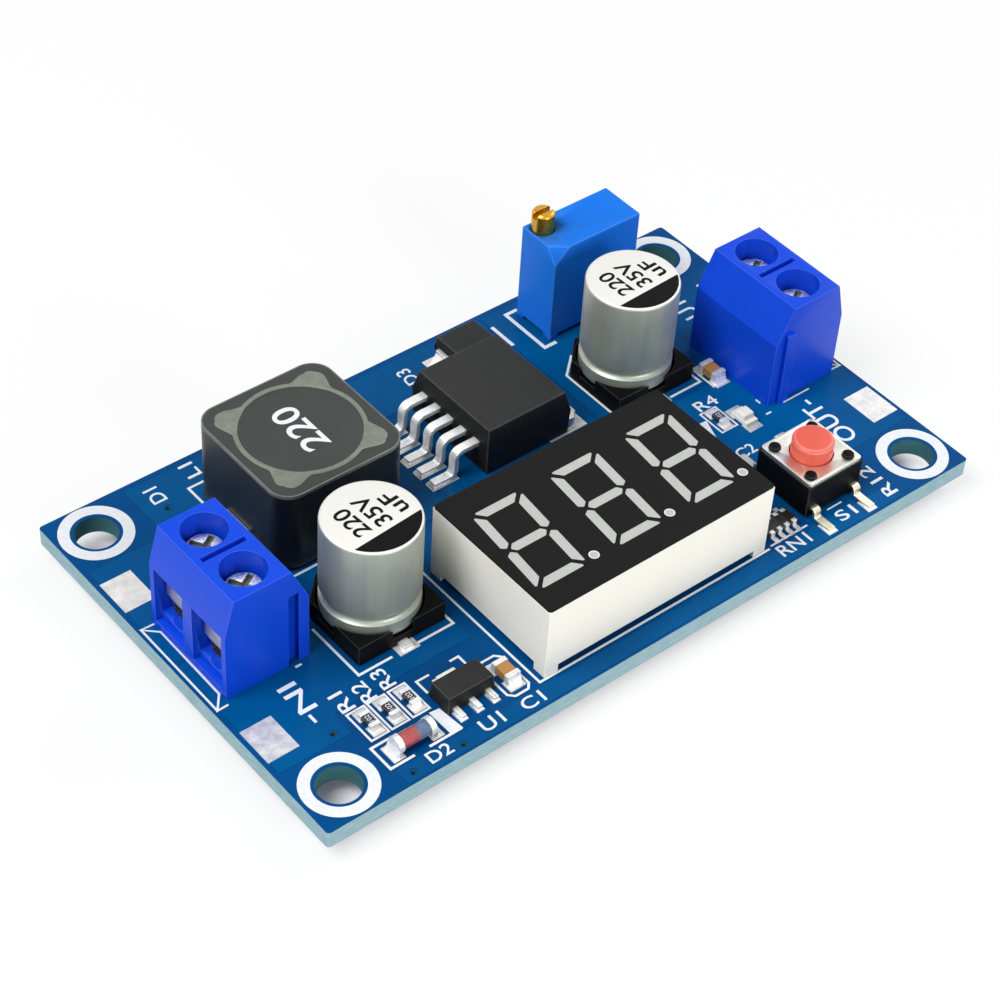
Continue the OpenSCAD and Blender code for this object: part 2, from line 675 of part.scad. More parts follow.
regulator_lands = concat(
    [for (i = [-1:1]) [regulator_at[0] + i * regulator_pitch, regulator_at[1] + regulator_lead_y,
     regulator_lead_w + land_margin, regulator_lead_out + land_margin]],
    [[regulator_at[0], regulator_at[1] + regulator_w / 2 + regulator_tab_out / 2,
      regulator_tab_w + 2 * land_margin, regulator_tab_out + land_margin]]);
array_lands = [for (x = array_columns, y = poles)
    [array_at[0] + x, array_at[1] + y * (array_size[1] / 2 + land_margin), array_end_w, 4 * land_margin]];
meter_lands = [for (x = meter_columns, y = poles)
    [display_at[0] + x, display_at[1] + y * (meter_w + meter_lead_run + meter_lead_reach) / 2,
     meter_lead_w + land_margin / 4, meter_lead_reach - meter_lead_run + land_margin]];
chip_lands = concat(
    [for (p = resistor_points) each end_lands(p, resistor_size, resistor_cap_l)],
    [for (p = ceramic_points) each end_lands(p, ceramic_size, ceramic_cap_l)],
    end_lands(led_at, led_base_size, (led_base_size[0] - led_lens_l) / 2),
    [for (e = sides) [zener_at[0] + e * (zener_l - zener_cap_l + land_reach) / 2, zener_at[1],
     zener_cap_l + land_reach, zener_cap_d + land_margin]]);
all_lands = concat(wire_lands, converter_lands, diode_lands, can_lands(in_can_at), can_lands(out_can_at),
    coil_lands, switch_lands, regulator_lands, array_lands, meter_lands, chip_lands);

// Shapes that several sub-parts share

module rounded_rect(l, w, r) {
    square([l - 2 * r, w], center = true);
    square([l, w - 2 * r], center = true);
    for (x = [-1, 1], y = [-1, 1]) translate([x * (l / 2 - r), y * (w / 2 - r)]) circle(r);
}

module block(l, w, h) translate([-l / 2, -w / 2, 0]) cube([l, w, h]);

// Profile drawn in X and Z, as thick as w along Y
module upright(w) rotate([90, 0, 0]) linear_extrude(w, center = true) children();

module trapezoid(base, h, lean)
    polygon([[-base / 2, 0], [base / 2, 0], [base / 2 - lean, h], [-base / 2 + lean, h]]);

// Block whose four sides lean in towards its top
module leaning_block(l, w, h, lean) intersection() {
    upright(w) trapezoid(l, h, lean);
    rotate([0, 0, 90]) upright(l) trapezoid(w, h, lean);
}

// Moulded body that leans in above and below the parting line at z
module moulded_body(l, w, h, z, lean, under) {
    translate([0, 0, z]) leaning_block(l, w, h - z, lean);
    translate([0, 0, z]) mirror([0, 0, 1]) leaning_block(l, w, z, under);
}

// Lead that leaves a body level at height z, turns down at run and stands on a foot that ends at tip
module gull_lead(start, run, tip, z, t, w, r, steps = 5) {
    top_c = [run - r, z - r];
    foot_c = [run + r, t / 2 + r];
    upright(w) polygon(concat(
        [[start, z + t / 2]],
        arc(top_c, r + t / 2, 90, 0, steps), arc(foot_c, r - t / 2, 180, 270, steps),
        [[tip, t], [tip, 0]],
        arc(foot_c, r + t / 2, 270, 180, steps), arc(top_c, r - t / 2, 0, 90, steps),
        [[start, z - t / 2]]));
}

// Round pin from its foot at the part down to the trimmed tip
module pin(p, top) translate([p[0], p[1], 0]) cylinder(h = top, d = p[2]);

// Places a part along Y instead of along X
module along_y(at, z = land_top) translate([at[0], at[1], z]) rotate([0, 0, 90]) children();

// Board

module circuit_board() color("#0a5aa8") translate([0, 0, lead_stub]) linear_extrude(board_t) difference() {
    rounded_rect(board_l, board_w, board_corner_r);
    for (p = mount_points) translate(p) circle(d = mount_hole_d);
    for (p = pin_points) translate([p[0], p[1]]) circle(d = p[2] + 2 * hole_gap);
    for (p = via_points) translate(p) circle(d = via_d);
}

module solder_lands() color("#d5d8da")
    for (p = all_lands) translate([p[0], p[1], board_top]) block(p[2], p[3], land_t);

// Cones of solder round the pins, under the board
module pin_solder() color("#c9ccd0") for (p = pin_points)
    translate([p[0], p[1], lead_stub - fillet_h]) difference() {
        cylinder(h = fillet_h, d1 = p[2] + fillet_reach / 2, d2 = p[2] + 2 * fillet_reach);
        translate([0, 0, -cut]) cylinder(h = fillet_h + 2 * cut, d = p[2] + 2 * seat_gap);
    }

// Screw terminals, drawn with the wire entries towards +X and the screw's axis at x = 0

module at_terminal(side)
    translate([side * terminal_axis_x, terminal_y, board_top]) rotate([0, 0, side > 0 ? 0 : 180]) children();

module at_pole(side, pole) at_terminal(side) translate([0, side * pole * terminal_pitch / 2, 0]) children();

module housing_profile() polygon([
    [-terminal_back, 0], [terminal_front, 0], [terminal_front, terminal_shoulder],
    [terminal_top_half, terminal_h], [-terminal_top_half, terminal_h], [-terminal_back, terminal_shoulder]
]);

// Wire entry in side view, with a round nose where the floor drops to the front lip
module entry_profile() {
    nose_x = terminal_front - entry_lip_depth;
    nose_r = (wire_floor - entry_lip) / 2;
    polygon(concat(
        [[cage_l / 2 - cut, wire_floor]],
        arc([nose_x - nose_r, wire_floor - nose_r], nose_r, 90, 0),
        [[nose_x, entry_lip], [terminal_front + cut, entry_lip],
         [terminal_front + cut, entry_top], [cage_l / 2 - cut, entry_top]]));
}

// Dovetail in plan on an end face, wider at its outer edge
module dovetail_profile(extra) {
    flare = dovetail_reach / 3;
    polygon([
        [-dovetail_w / 2 - extra, -cut], [dovetail_w / 2 + extra, -cut], [dovetail_w / 2 + extra, 0],
        [dovetail_w / 2 + flare + extra, dovetail_reach + extra],
        [-dovetail_w / 2 - flare - extra, dovetail_reach + extra], [-dovetail_w / 2 - extra, 0]
    ]);
}

module pole_cavity() {
    cavity_l = cage_l + 2 * seat_gap;
    cavity_w = cage_w + 2 * seat_gap;
    translate([0, 0, -cut]) block(cavity_l, cavity_w, cage_top + seat_gap + cut);
    upright(entry_w) entry_profile();
    translate([0, 0, wire_floor + wire_trough_r - wire_trough_depth]) rotate([0, 90, 0])
        cylinder(h = terminal_front + cut, r = wire_trough_r);
    translate([0, 0, cage_top - cut]) cylinder(h = terminal_h, d = screw_hole_d);
}

module terminal_housing() {
    dovetail_x = -terminal_back + dovetail_inset;
    difference() {
        upright(terminal_l) housing_profile();
        for (p = poles) translate([0, p * terminal_pitch / 2, 0]) pole_cavity();
        translate([0, 0, terminal_h - top_slot_depth]) block(top_slot_l, top_slot_w, top_slot_depth + cut);
        translate([dovetail_x, terminal_l / 2, -cut]) mirror([0, 1, 0])
            linear_extrude(dovetail_top + cut) dovetail_profile(run_gap);
    }
    translate([dovetail_x, -terminal_l / 2, 0]) mirror([0, 1, 0])
        linear_extrude(dovetail_top) dovetail_profile(0);
}

module clamp_cage() {
    difference() {
        translate([0, 0, cage_bottom]) block(cage_l, cage_w, cage_top - cage_bottom);
        translate([0, 0, wire_floor]) block(cage_l + 2 * cut, cage_w - 2 * cage_wall, cage_inner_h);
        translate([0, 0, cage_top - cage_roof - cut])
            cylinder(h = cage_roof + 2 * cut, d = screw_d + run_gap);
    }
    translate([0, 0, -pin_drop]) cylinder(h = pin_drop + cage_bottom + cage_floor / 2, d = terminal_pin_d);
}

module clamp_cages(side) color("#b9bdc2") for (p = poles) at_pole(side, p) clamp_cage();

// Sheet leaf under the screw's tip, with an upright apron in front of the cage
module wire_guard(side, pole) color("#d8d9d6") at_pole(side, pole) {
    apron_x = cage_l / 2 + run_gap;
    plate_w = cage_w - 2 * cage_wall - 2 * run_gap;
    bend_r = guard_t;
    upright(plate_w) polygon(concat(
        [[-cage_l / 2 + run_gap, guard_bottom]],
        arc([apron_x + guard_t - bend_r, guard_bottom + bend_r], bend_r, -90, 0),
        [[apron_x + guard_t, guard_bottom + 2 * guard_t], [apron_x, guard_bottom + 2 * guard_t],
         [apron_x, guard_bottom + guard_t], [-cage_l / 2 + run_gap, guard_bottom + guard_t]]));
    translate([apron_x + guard_t / 2, 0, guard_bottom + bend_r])
        block(guard_t, apron_w, apron_h - bend_r);
}

module clamp_screw(side, pole) color("#dfe1e0") at_pole(side, pole) difference() {
    rotate_extrude() polygon([
        [0, screw_tip], [screw_d / 2 - screw_edge, screw_tip], [screw_d / 2, screw_tip + screw_edge],
        [screw_d / 2, screw_head_bottom], [screw_head_d / 2, screw_head_bottom],
        [screw_head_d / 2, screw_head_top - screw_edge], [screw_head_d / 2 - screw_edge, screw_head_top],
        [0, screw_head_top]
    ]);
    for (a = [0, 90]) rotate([0, 0, a + driver_slot_turn])
        translate([0, 0, screw_head_top - driver_slot_depth])
            block(driver_slot_l, driver_slot_w, driver_slot_depth + cut);
}

module input_terminal_housing() color("#1d46d8") at_terminal(input_side) terminal_housing();
module output_terminal_housing() color("#1d46d8") at_terminal(output_side) terminal_housing();
module input_clamp_cages() clamp_cages(input_side);
module output_clamp_cages() clamp_cages(output_side);
module input_wire_guard_positive() wire_guard(input_side, positive);
module input_wire_guard_negative() wire_guard(input_side, negative);
module output_wire_guard_positive() wire_guard(output_side, positive);
module output_wire_guard_negative() wire_guard(output_side, negative);
module input_clamp_screw_positive() clamp_screw(input_side, positive);
module input_clamp_screw_negative() clamp_screw(input_side, negative);
module output_clamp_screw_positive() clamp_screw(output_side, positive);
module output_clamp_screw_negative() clamp_screw(output_side, negative);

// Trimmer

// Half space beyond the slanted plane that takes the case's top corner off
module corner_cutter() {
    n = [-1 / trim_corner_cut[0], -1 / trim_corner_cut[1], 1 / trim_corner_cut[2]];
    translate([-trimmer_l / 2 + trim_corner_cut[0], -trimmer_w / 2, trimmer_h])
        rotate([0, acos(n[2] / norm(n)), atan2(n[1], n[0])]) block(2 * trimmer_l, 2 * trimmer_l, trimmer_w);
}

module trimmer_case() color("#3f8fe6") {
    foot_x = (trimmer_l - trimmer_foot_s) / 2;
    foot_y = (trimmer_w - trimmer_foot_s) / 2;
    translate([trimmer_x, trimmer_y, board_top]) {
        difference() {
            translate([0, 0, trimmer_foot_h]) block(trimmer_l, trimmer_w, trimmer_h - trimmer_foot_h);
            corner_cutter();
            translate([-trimmer_l / 2 + trim_screw_inset, trimmer_w / 2 - trim_screw_inset,
                trimmer_h - trim_screw_in - run_gap])
                cylinder(h = trim_screw_in + run_gap + cut, d = trim_screw_d + 2 * run_gap);
        }
        for (x = [-1, 1], y = [-1, 1])
            translate([x * foot_x, y * foot_y, 0]) block(trimmer_foot_s, trimmer_foot_s, trimmer_foot_h);
    }
}

module trimmer_screw() color("#c79a3a")
    translate([trim_screw_at[0], trim_screw_at[1], board_top + trimmer_h - trim_screw_in]) difference() {
        screw_l = trim_screw_in + trim_screw_out;
        rotate_extrude() polygon([
            [0, 0], [trim_screw_d / 2, 0], [trim_screw_d / 2, screw_l - trim_screw_edge],
            [trim_screw_d / 2 - trim_screw_edge, screw_l], [0, screw_l]
        ]);
        translate([0, 0, screw_l - driver_slot_depth])
            block(trim_screw_d + cut, driver_slot_w, driver_slot_depth + cut);
    }

module trimmer_pins() color("#cfd2d4") for (p = trimmer_pin_points) pin(p, board_top + trimmer_foot_h);

// Inductor

module shield_opening(d, pocket) {
    circle(d = d);
    for (a = [45:90:315]) rotate(a) translate([d / 2, 0]) circle(d = pocket);
}

module at_inductor() translate([inductor_at[0], inductor_at[1], land_top]) children();

module inductor_shield() color("#3c403f") at_inductor() difference() {
    translate([0, 0, shield_lift]) linear_extrude(shield_h)
        rounded_rect(inductor_s, inductor_s, shield_corner_r);
    translate([0, 0, shield_lift - cut]) cylinder(h = inductor_h + 2 * cut, d = shield_bore_d);
    translate([0, 0, inductor_h - pocket_depth])
        linear_extrude(pocket_depth + cut) shield_opening(shield_bore_d, pocket_d);
}

module inductor_drum() color("#2f3231") at_inductor() rotate_extrude() polygon([
    [0, shield_lift], [drum_d / 2, shield_lift], [drum_d / 2, shield_lift + drum_flange_t],
    [drum_post_d / 2, shield_lift + drum_flange_t], [drum_post_d / 2, inductor_h - drum_flange_t],
    [drum_d / 2, inductor_h - drum_flange_t], [drum_d / 2, inductor_h], [0, inductor_h]
]);

module inductor_winding() color("#b5682f") at_inductor() {
    winding_h = shield_h - 2 * drum_flange_t - 2 * seat_gap;
    translate([0, 0, shield_lift + drum_flange_t + seat_gap]) difference() {
        cylinder(h = winding_h, d = winding_d);
        translate([0, 0, -cut]) cylinder(h = winding_h + 2 * cut, d = drum_post_d + 2 * seat_gap);
    }
}

module inductor_adhesive() color("#8d9183") at_inductor() {
    adhesive_h = pocket_depth - adhesive_sink - seat_gap;
    translate([0, 0, inductor_h - pocket_depth + seat_gap]) linear_extrude(adhesive_h) difference() {
        shield_opening(shield_bore_d - 2 * seat_gap, pocket_d - 2 * seat_gap);
        circle(d = drum_d + 2 * seat_gap);
    }
}

module inductor_terminals() color("#c9ccd0") at_inductor() for (e = sides) scale([e, 1, 1])
    translate([inductor_s / 2 + seat_gap, 0, 0]) upright(coil_terminal_w) polygon([
        [-coil_terminal_l, 0], [coil_terminal_t, 0], [coil_terminal_t, coil_terminal_h],
        [0, coil_terminal_h], [0, coil_terminal_t], [-coil_terminal_l, coil_terminal_t]
    ]);

// Converter

module at_converter() translate([converter_at[0], converter_at[1], land_top]) children();

// Heat tab: narrow inside the body, wide beyond it, with the corners of its free end cut off
module tab_plate(extra) {
    wide_x = converter_l / 2;
    end_x = wide_x + tab_reach;
    inner_x = wide_x - tab_in - extra;
    half_neck = tab_neck_w / 2 + extra;
    half_w = tab_w / 2;
    linear_extrude(tab_t + extra) polygon([
        [inner_x, -half_neck], [wide_x, -half_neck], [wide_x, -half_w], [end_x - tab_cut, -half_w],
        [end_x, -half_w + tab_cut], [end_x, half_w - tab_cut], [end_x - tab_cut, half_w],
        [wide_x, half_w], [wide_x, half_neck], [inner_x, half_neck]
    ]);
}

module converter_body() color("#333536") at_converter() difference() {
    moulded_body(converter_l, converter_w, converter_h, lead_exit, converter_draft, converter_under);
    translate([0, 0, -seat_gap]) tab_plate(seat_gap);
    for (i = [-2:2]) translate([-converter_l / 2, i * lead_pitch, lead_exit - lead_t / 2 - seat_gap])
        block(2 * (lead_in + seat_gap), lead_w + 2 * seat_gap, lead_t + 2 * seat_gap);
}

module converter_leads() color("#d3d6d8") at_converter() for (i = [-2:2])
    translate([-converter_l / 2, i * lead_pitch, 0]) rotate([0, 0, 180])
        gull_lead(-lead_in, lead_run, lead_reach, lead_exit, lead_t, lead_w, lead_bend_r);

module converter_tab() color("#c3c6c9") at_converter() tab_plate(0);

// Rectifier diode

module at_diode() translate([diode_at[0], diode_at[1], land_top]) children();

module diode_body() color("#2b2d2c") at_diode() difference() {
    translate([0, 0, diode_strip_t + seat_gap])
        moulded_body(diode_l, diode_w, diode_h - diode_strip_t, diode_h / 2 - diode_strip_t,
            diode_draft, diode_draft);
    for (e = sides) translate([e * diode_l / 2, 0, diode_h / 2 - diode_strip_t / 2])
        block(2 * (strip_in + seat_gap), diode_strip_w + 2 * seat_gap, diode_strip_t + 2 * seat_gap);
}

// Strip that leaves the body at half height, runs down its end and turns under it
module diode_terminals() color("#cdd0d2") at_diode() for (e = sides) scale([e, 1, 1])
    translate([diode_l / 2 + seat_gap, 0, 0]) {
        exit_z = diode_h / 2 + seat_gap + diode_strip_t / 2;
        upright(diode_strip_w) polygon([
            [-strip_in, exit_z], [diode_strip_t, exit_z], [diode_strip_t, 0], [-diode_foot, 0],
            [-diode_foot, diode_strip_t], [0, diode_strip_t], [0, exit_z - diode_strip_t],
            [-strip_in, exit_z - diode_strip_t]
        ]);
    }

// Electrolytic capacitors, with the positive side towards +Y

module at_can(at) translate([at[0], at[1], land_top]) children();

// Sealed can: rolled bottom edge, groove that grips the bung, round top edge
module capacitor_can(at) color("#b4b7b9") at_can(at) translate([0, 0, can_base_t + seat_gap]) {
    h = can_h - can_base_t - seat_gap;
    groove_x = can_d / 2 - can_groove_depth + can_groove_r;
    rotate_extrude() difference() {
        polygon(concat(
            [[0, 0]],
            arc([can_d / 2 - can_edge_r, can_edge_r], can_edge_r, -90, 0),
            arc([can_d / 2 - can_edge_r, h - can_edge_r], can_edge_r, 0, 90),
            [[0, h]]));
        translate([groove_x, can_groove_z]) circle(can_groove_r);
    }
}

module base_outline() {
    half = can_base_s / 2;
    polygon([
        [-half, -half], [half, -half], [half, half - can_base_cut], [half - can_base_cut, half],
        [-half + can_base_cut, half], [-half, half - can_base_cut]
    ]);
}

// Base plate with four corner posts that stand round the can
module capacitor_base(at) color("#1b1c1d") at_can(at) difference() {
    linear_extrude(can_post_h) base_outline();
    translate([0, 0, can_base_t]) cylinder(h = can_post_h, d = can_base_s + 2 * run_gap);
    slot_l = can_base_s - 2 * (can_lead_in - seat_gap);
    for (e = poles) translate([0, e * can_base_s / 2, -cut])
        block(can_lead_w + 2 * seat_gap, slot_l, can_lead_t + seat_gap + cut);
}

module capacitor_leads(at) color("#d0d3d5") at_can(at) for (e = poles) scale([1, e, 1])
    translate([-can_lead_w / 2, can_lead_in, 0])
        cube([can_lead_w, can_base_s / 2 + can_lead_out - can_lead_in, can_lead_t]);

module input_capacitor_can() capacitor_can(in_can_at);
module input_capacitor_base() capacitor_base(in_can_at);
module input_capacitor_leads() capacitor_leads(in_can_at);
module output_capacitor_can() capacitor_can(out_can_at);
module output_capacitor_base() capacitor_base(out_can_at);
module output_capacitor_leads() capacitor_leads(out_can_at);

// Display

module at_display(z = board_top) translate([display_at[0], display_at[1], z]) children();

// Point of a digit, leaned over by the slant
function slanted(p) = [p[0] + p[1] * tan(digit_slant), p[1]];

// Six-sided stroke between two points, with pointed ends
module stroke(a, b, trim) {
    along = (b - a) / norm(b - a);
    across = [-along[1], along[0]] * (stroke_w / 2 - trim);
    shoulder = along * (stroke_w / 2 - trim);
    start = a + along * (stroke_gap + trim);
    end = b - along * (stroke_gap + trim);
    polygon([for (p = [start, start + shoulder + across, end - shoulder + across,
                       end, end - shoulder - across, start + shoulder - across]) slanted(p)]);
}

// Seven strokes and a decimal point, each drawn smaller by trim all round
module digit_shape(trim) {
    x = digit_w / 2;
    y = (digit_h - stroke_w) / 2;
    ends = [
        [[-x, y], [x, y]], [[-x, 0], [x, 0]], [[-x, -y], [x, -y]],
        [[-x, y], [-x, 0]], [[x, y], [x, 0]], [[-x, 0], [-x, -y]], [[x, 0], [x, -y]]
    ];
    for (e = ends) stroke(e[0], e[1], trim);
    translate(slanted(point_offset)) circle(d = point_d - 2 * trim);
}

module all_digits(trim) for (i = [-1:1])
    translate([i * digit_pitch + digit_shift[0], digit_shift[1]]) digit_shape(trim);

module display_housing() color("#efece0") {
    top = display_h - face_t;
    foot_x = (display_l - display_foot_l) / 2;
    foot_y = (display_w - display_foot_l) / 2;
    well_bottom = backing_z + backing_t;
    at_display() {
        difference() {
            translate([0, 0, display_foot_h]) block(display_l, display_w, top - display_foot_h);
            translate([0, 0, display_foot_h - cut])
                block(display_inner_l, display_inner_w, well_bottom - display_foot_h + cut);
            translate([0, 0, well_bottom - cut]) linear_extrude(top - well_bottom + 2 * cut) all_digits(0);
        }
        for (x = [-1, 1], y = [-1, 1])
            translate([x * foot_x, y * foot_y, 0]) block(display_foot_l, display_foot_l, display_foot_h);
    }
}

module display_face() color("#232323") at_display(board_top + display_h - face_t)
    linear_extrude(face_t) difference() {
        square([display_l, display_w], center = true);
        all_digits(0);
    }

module display_segments() color("#d6d4cb") {
    bottom = backing_z + backing_t + seat_gap;
    at_display(board_top + bottom) linear_extrude(display_h - bottom) all_digits(seat_gap);
}

module display_backing() color("#3a5f3c")
    at_display(board_top + backing_z) linear_extrude(backing_t) difference() {
        square([display_inner_l - 2 * seat_gap, display_inner_w - 2 * seat_gap], center = true);
        for (p = display_pin_points)
            translate([p[0] - display_at[0], p[1] - display_at[1]]) circle(d = p[2] + 2 * seat_gap);
    }

module display_pins() color("#d0d3d5") for (p = display_pin_points) pin(p, board_top + backing_z + backing_t);

// Voltmeter chip, on the board under the display

module meter_chip_body() color("#26282a") at_display(land_top) difference() {
    body_h = meter_h - meter_lift;
    exit_z = meter_h / 2;
    translate([0, 0, meter_lift])
        moulded_body(meter_l, meter_w, body_h, body_h / 2, meter_draft, meter_draft);
    for (x = meter_columns, e = poles)
        translate([x, e * meter_w / 2, exit_z - meter_lead_t / 2 - seat_gap])
            block(meter_lead_w + 2 * seat_gap, 2 * (strip_in / 2 + seat_gap), meter_lead_t + 2 * seat_gap);
}

module meter_chip_leads() color("#d0d3d5") at_display(land_top) for (e = poles) rotate([0, 0, e * 90])
    for (x = meter_columns) translate([meter_w / 2, x, 0])
        gull_lead(-strip_in / 2, meter_lead_run, meter_lead_reach, meter_h / 2,
            meter_lead_t, meter_lead_w, meter_bend_r, 3);

// Push switch

module at_switch() translate([switch_at[0], switch_at[1], land_top]) children();

module peg_points() for (x = [-1, 1], y = [-1, 1])
    translate([x * switch_peg_at, y * switch_peg_at, 0]) children();

module switch_base() color("#1d1e1f") at_switch() {
    difference() {
        translate([0, 0, switch_lift]) block(switch_s, switch_s, switch_base_h - switch_lift);
        translate([0, 0, well_floor]) cylinder(h = switch_base_h, d = button_flange_d + 2 * run_gap);
        translate([0, 0, switch_leg_z - switch_leg_t / 2 - seat_gap]) for (x = sides, y = poles)
            translate([x * switch_leg_pitch / 2, y * switch_s / 2, 0])
                block(switch_leg_w + 2 * seat_gap, 2 * (strip_in + seat_gap), switch_leg_t + 2 * seat_gap);
    }
    peg_points() translate([0, 0, switch_base_h - cut])
        cylinder(h = cut + switch_cover_t + switch_peg_out, d = switch_peg_d);
}

module switch_cover() color("#d4d5cf") at_switch()
    translate([0, 0, switch_base_h]) linear_extrude(switch_cover_t) difference() {
        rounded_rect(switch_cover_s, switch_cover_s, switch_cover_r);
        circle(d = button_d + 2 * run_gap);
        peg_points() circle(d = switch_peg_d + 2 * seat_gap);
    }

module switch_button() color("#e2574c") at_switch() rotate_extrude() polygon([
    [0, nub_bottom], [button_flange_d / 2, nub_bottom], [button_flange_d / 2, flange_top],
    [button_d / 2, flange_top], [button_d / 2, button_top - button_edge],
    [button_d / 2 - button_edge, button_top], [0, button_top]
]);

// Shallow sprung dome, cut from a thin sphere
module switch_dome() color("#c8cacb") at_switch() intersection() {
    translate([0, 0, dome_top - dome_sphere_r]) difference() {
        sphere(dome_sphere_r);
        sphere(dome_sphere_r - dome_t);
    }
    translate([0, 0, well_floor]) cylinder(h = dome_rise + cut, d = dome_d);
}

module switch_legs() color("#d8d6c6") at_switch() for (e = poles) rotate([0, 0, e * 90])
    for (x = sides) translate([switch_s / 2, x * switch_leg_pitch / 2, 0])
        gull_lead(-strip_in, switch_leg_run, switch_leg_reach, switch_leg_z,
            switch_leg_t, switch_leg_w, switch_bend_r);

// Voltmeter regulator

module at_regulator() translate([regulator_at[0], regulator_at[1], land_top]) children();

// Three flat leads at the front; the middle one widens into the tab behind the body
module regulator_frame(extra) {
    lead_l = regulator_lead_out + strip_in;
    tab_l = regulator_w + regulator_tab_out - strip_in;
    for (i = [-1:1]) translate([i * regulator_pitch, regulator_lead_y + strip_in / 2])
        square([regulator_lead_w + 2 * extra, lead_l + 2 * extra], center = true);
    translate([0, (regulator_tab_out + strip_in) / 2])
        square([regulator_tab_w + 2 * extra, tab_l + 2 * extra], center = true);
    translate([0, -regulator_w / 4])
        square([regulator_lead_w + 2 * extra, regulator_w / 2 + 2 * extra], center = true);
}

module regulator_body() color("#2f3231") at_regulator() difference() {
    leaning_block(regulator_l, regulator_w, regulator_h, regulator_draft);
    translate([0, 0, -cut]) linear_extrude(regulator_lead_t + seat_gap + cut) regulator_frame(seat_gap);
}

module regulator_leads() color("#d5d8da") at_regulator() linear_extrude(regulator_lead_t) regulator_frame(0);

// Small parts

// Core of a chip part along X, which runs into the end caps
module chip_core(size) translate([0, 0, cap_skin])
    block(size[0] - 2 * cap_skin, size[1] - 2 * cap_skin, size[2] - 2 * cap_skin);

module chip_ends(size, cap_l) for (e = sides) translate([e * (size[0] - cap_l) / 2, 0, 0]) difference() {
    block(cap_l, size[1], size[2]);
    translate([-e * (size[0] - cap_l) / 2, 0, 0]) chip_core(size);
}

module ceramic_capacitor_bodies() color("#b98a4e")
    for (p = ceramic_points) along_y(p) chip_core(ceramic_size);
module ceramic_capacitor_ends() color("#d6d8d9")
    for (p = ceramic_points) along_y(p) chip_ends(ceramic_size, ceramic_cap_l);
module chip_resistor_bodies() color("#2a2b2d") for (p = resistor_points) along_y(p) chip_core(resistor_size);
module chip_resistor_ends() color("#d6d8d9")
    for (p = resistor_points) along_y(p) chip_ends(resistor_size, resistor_cap_l);

module at_zener()
    translate([zener_at[0], zener_at[1], land_top + zener_cap_d / 2]) rotate([0, 90, 0]) children();

module zener_glass() color("#b5604e") at_zener()
    cylinder(h = zener_l - 2 * cap_skin, d = zener_glass_d - 2 * seat_gap, center = true);

module zener_caps() color("#cfcfc8") at_zener() for (e = sides)
    translate([0, 0, e * (zener_l - zener_cap_l) / 2]) difference() {
        cylinder(h = zener_cap_l, d = zener_cap_d, center = true);
        translate([0, 0, -e * cap_skin]) cylinder(h = zener_cap_l, d = zener_glass_d, center = true);
    }

module at_array() translate([array_at[0], array_at[1], land_top]) children();

// Ends along both long sides, let into the body and standing proud of it by the end caps' metal
module array_ends(extra) for (x = array_columns, e = poles)
    translate([x, e * (array_size[1] / 2 + cap_skin - array_end_l / 2)])
        square([array_end_w + 2 * extra, array_end_l + 2 * extra], center = true);

module resistor_array_body() color("#2a2b2d") at_array() linear_extrude(array_size[2]) difference() {
    square([array_size[0], array_size[1]], center = true);
    array_ends(seat_gap);
}

module resistor_array_ends() color("#d6d8d9") at_array() linear_extrude(array_size[2]) array_ends(0);

module indicator_base() color("#f1f0ea") along_y(led_at)
    block(led_base_size[0], led_base_size[1], led_base_size[2]);

module indicator_lens() color("#f4f3e6") along_y(led_at, land_top + led_base_size[2])
    leaning_block(led_lens_l, led_base_size[1], led_lens_h, led_lens_draft);

circuit_board();
solder_lands();
pin_solder();
input_terminal_housing();
input_clamp_cages();
input_wire_guard_positive();
input_wire_guard_negative();
input_clamp_screw_positive();
input_clamp_screw_negative();
output_terminal_housing();
output_clamp_cages();
output_wire_guard_positive();
output_wire_guard_negative();
output_clamp_screw_positive();
output_clamp_screw_negative();
trimmer_case();
trimmer_screw();
trimmer_pins();
inductor_shield();
inductor_drum();
inductor_winding();
inductor_adhesive();
inductor_terminals();
converter_body();
converter_leads();
converter_tab();
diode_body();
diode_terminals();
input_capacitor_can();
input_capacitor_base();
input_capacitor_leads();
output_capacitor_can();
output_capacitor_base();
output_capacitor_leads();
display_housing();
display_face();
display_segments();
display_backing();
display_pins();
meter_chip_body();
meter_chip_leads();
switch_base();
switch_cover();
switch_button();
switch_dome();
switch_legs();
regulator_body();
regulator_leads();
ceramic_capacitor_bodies();
ceramic_capacitor_ends();
chip_resistor_bodies();
chip_resistor_ends();
zener_glass();
zener_caps();
resistor_array_body();
resistor_array_ends();
indicator_base();
indicator_lens();
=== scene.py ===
import json
import math
import bmesh
import bpy
from mathutils import Matrix, Vector, noise

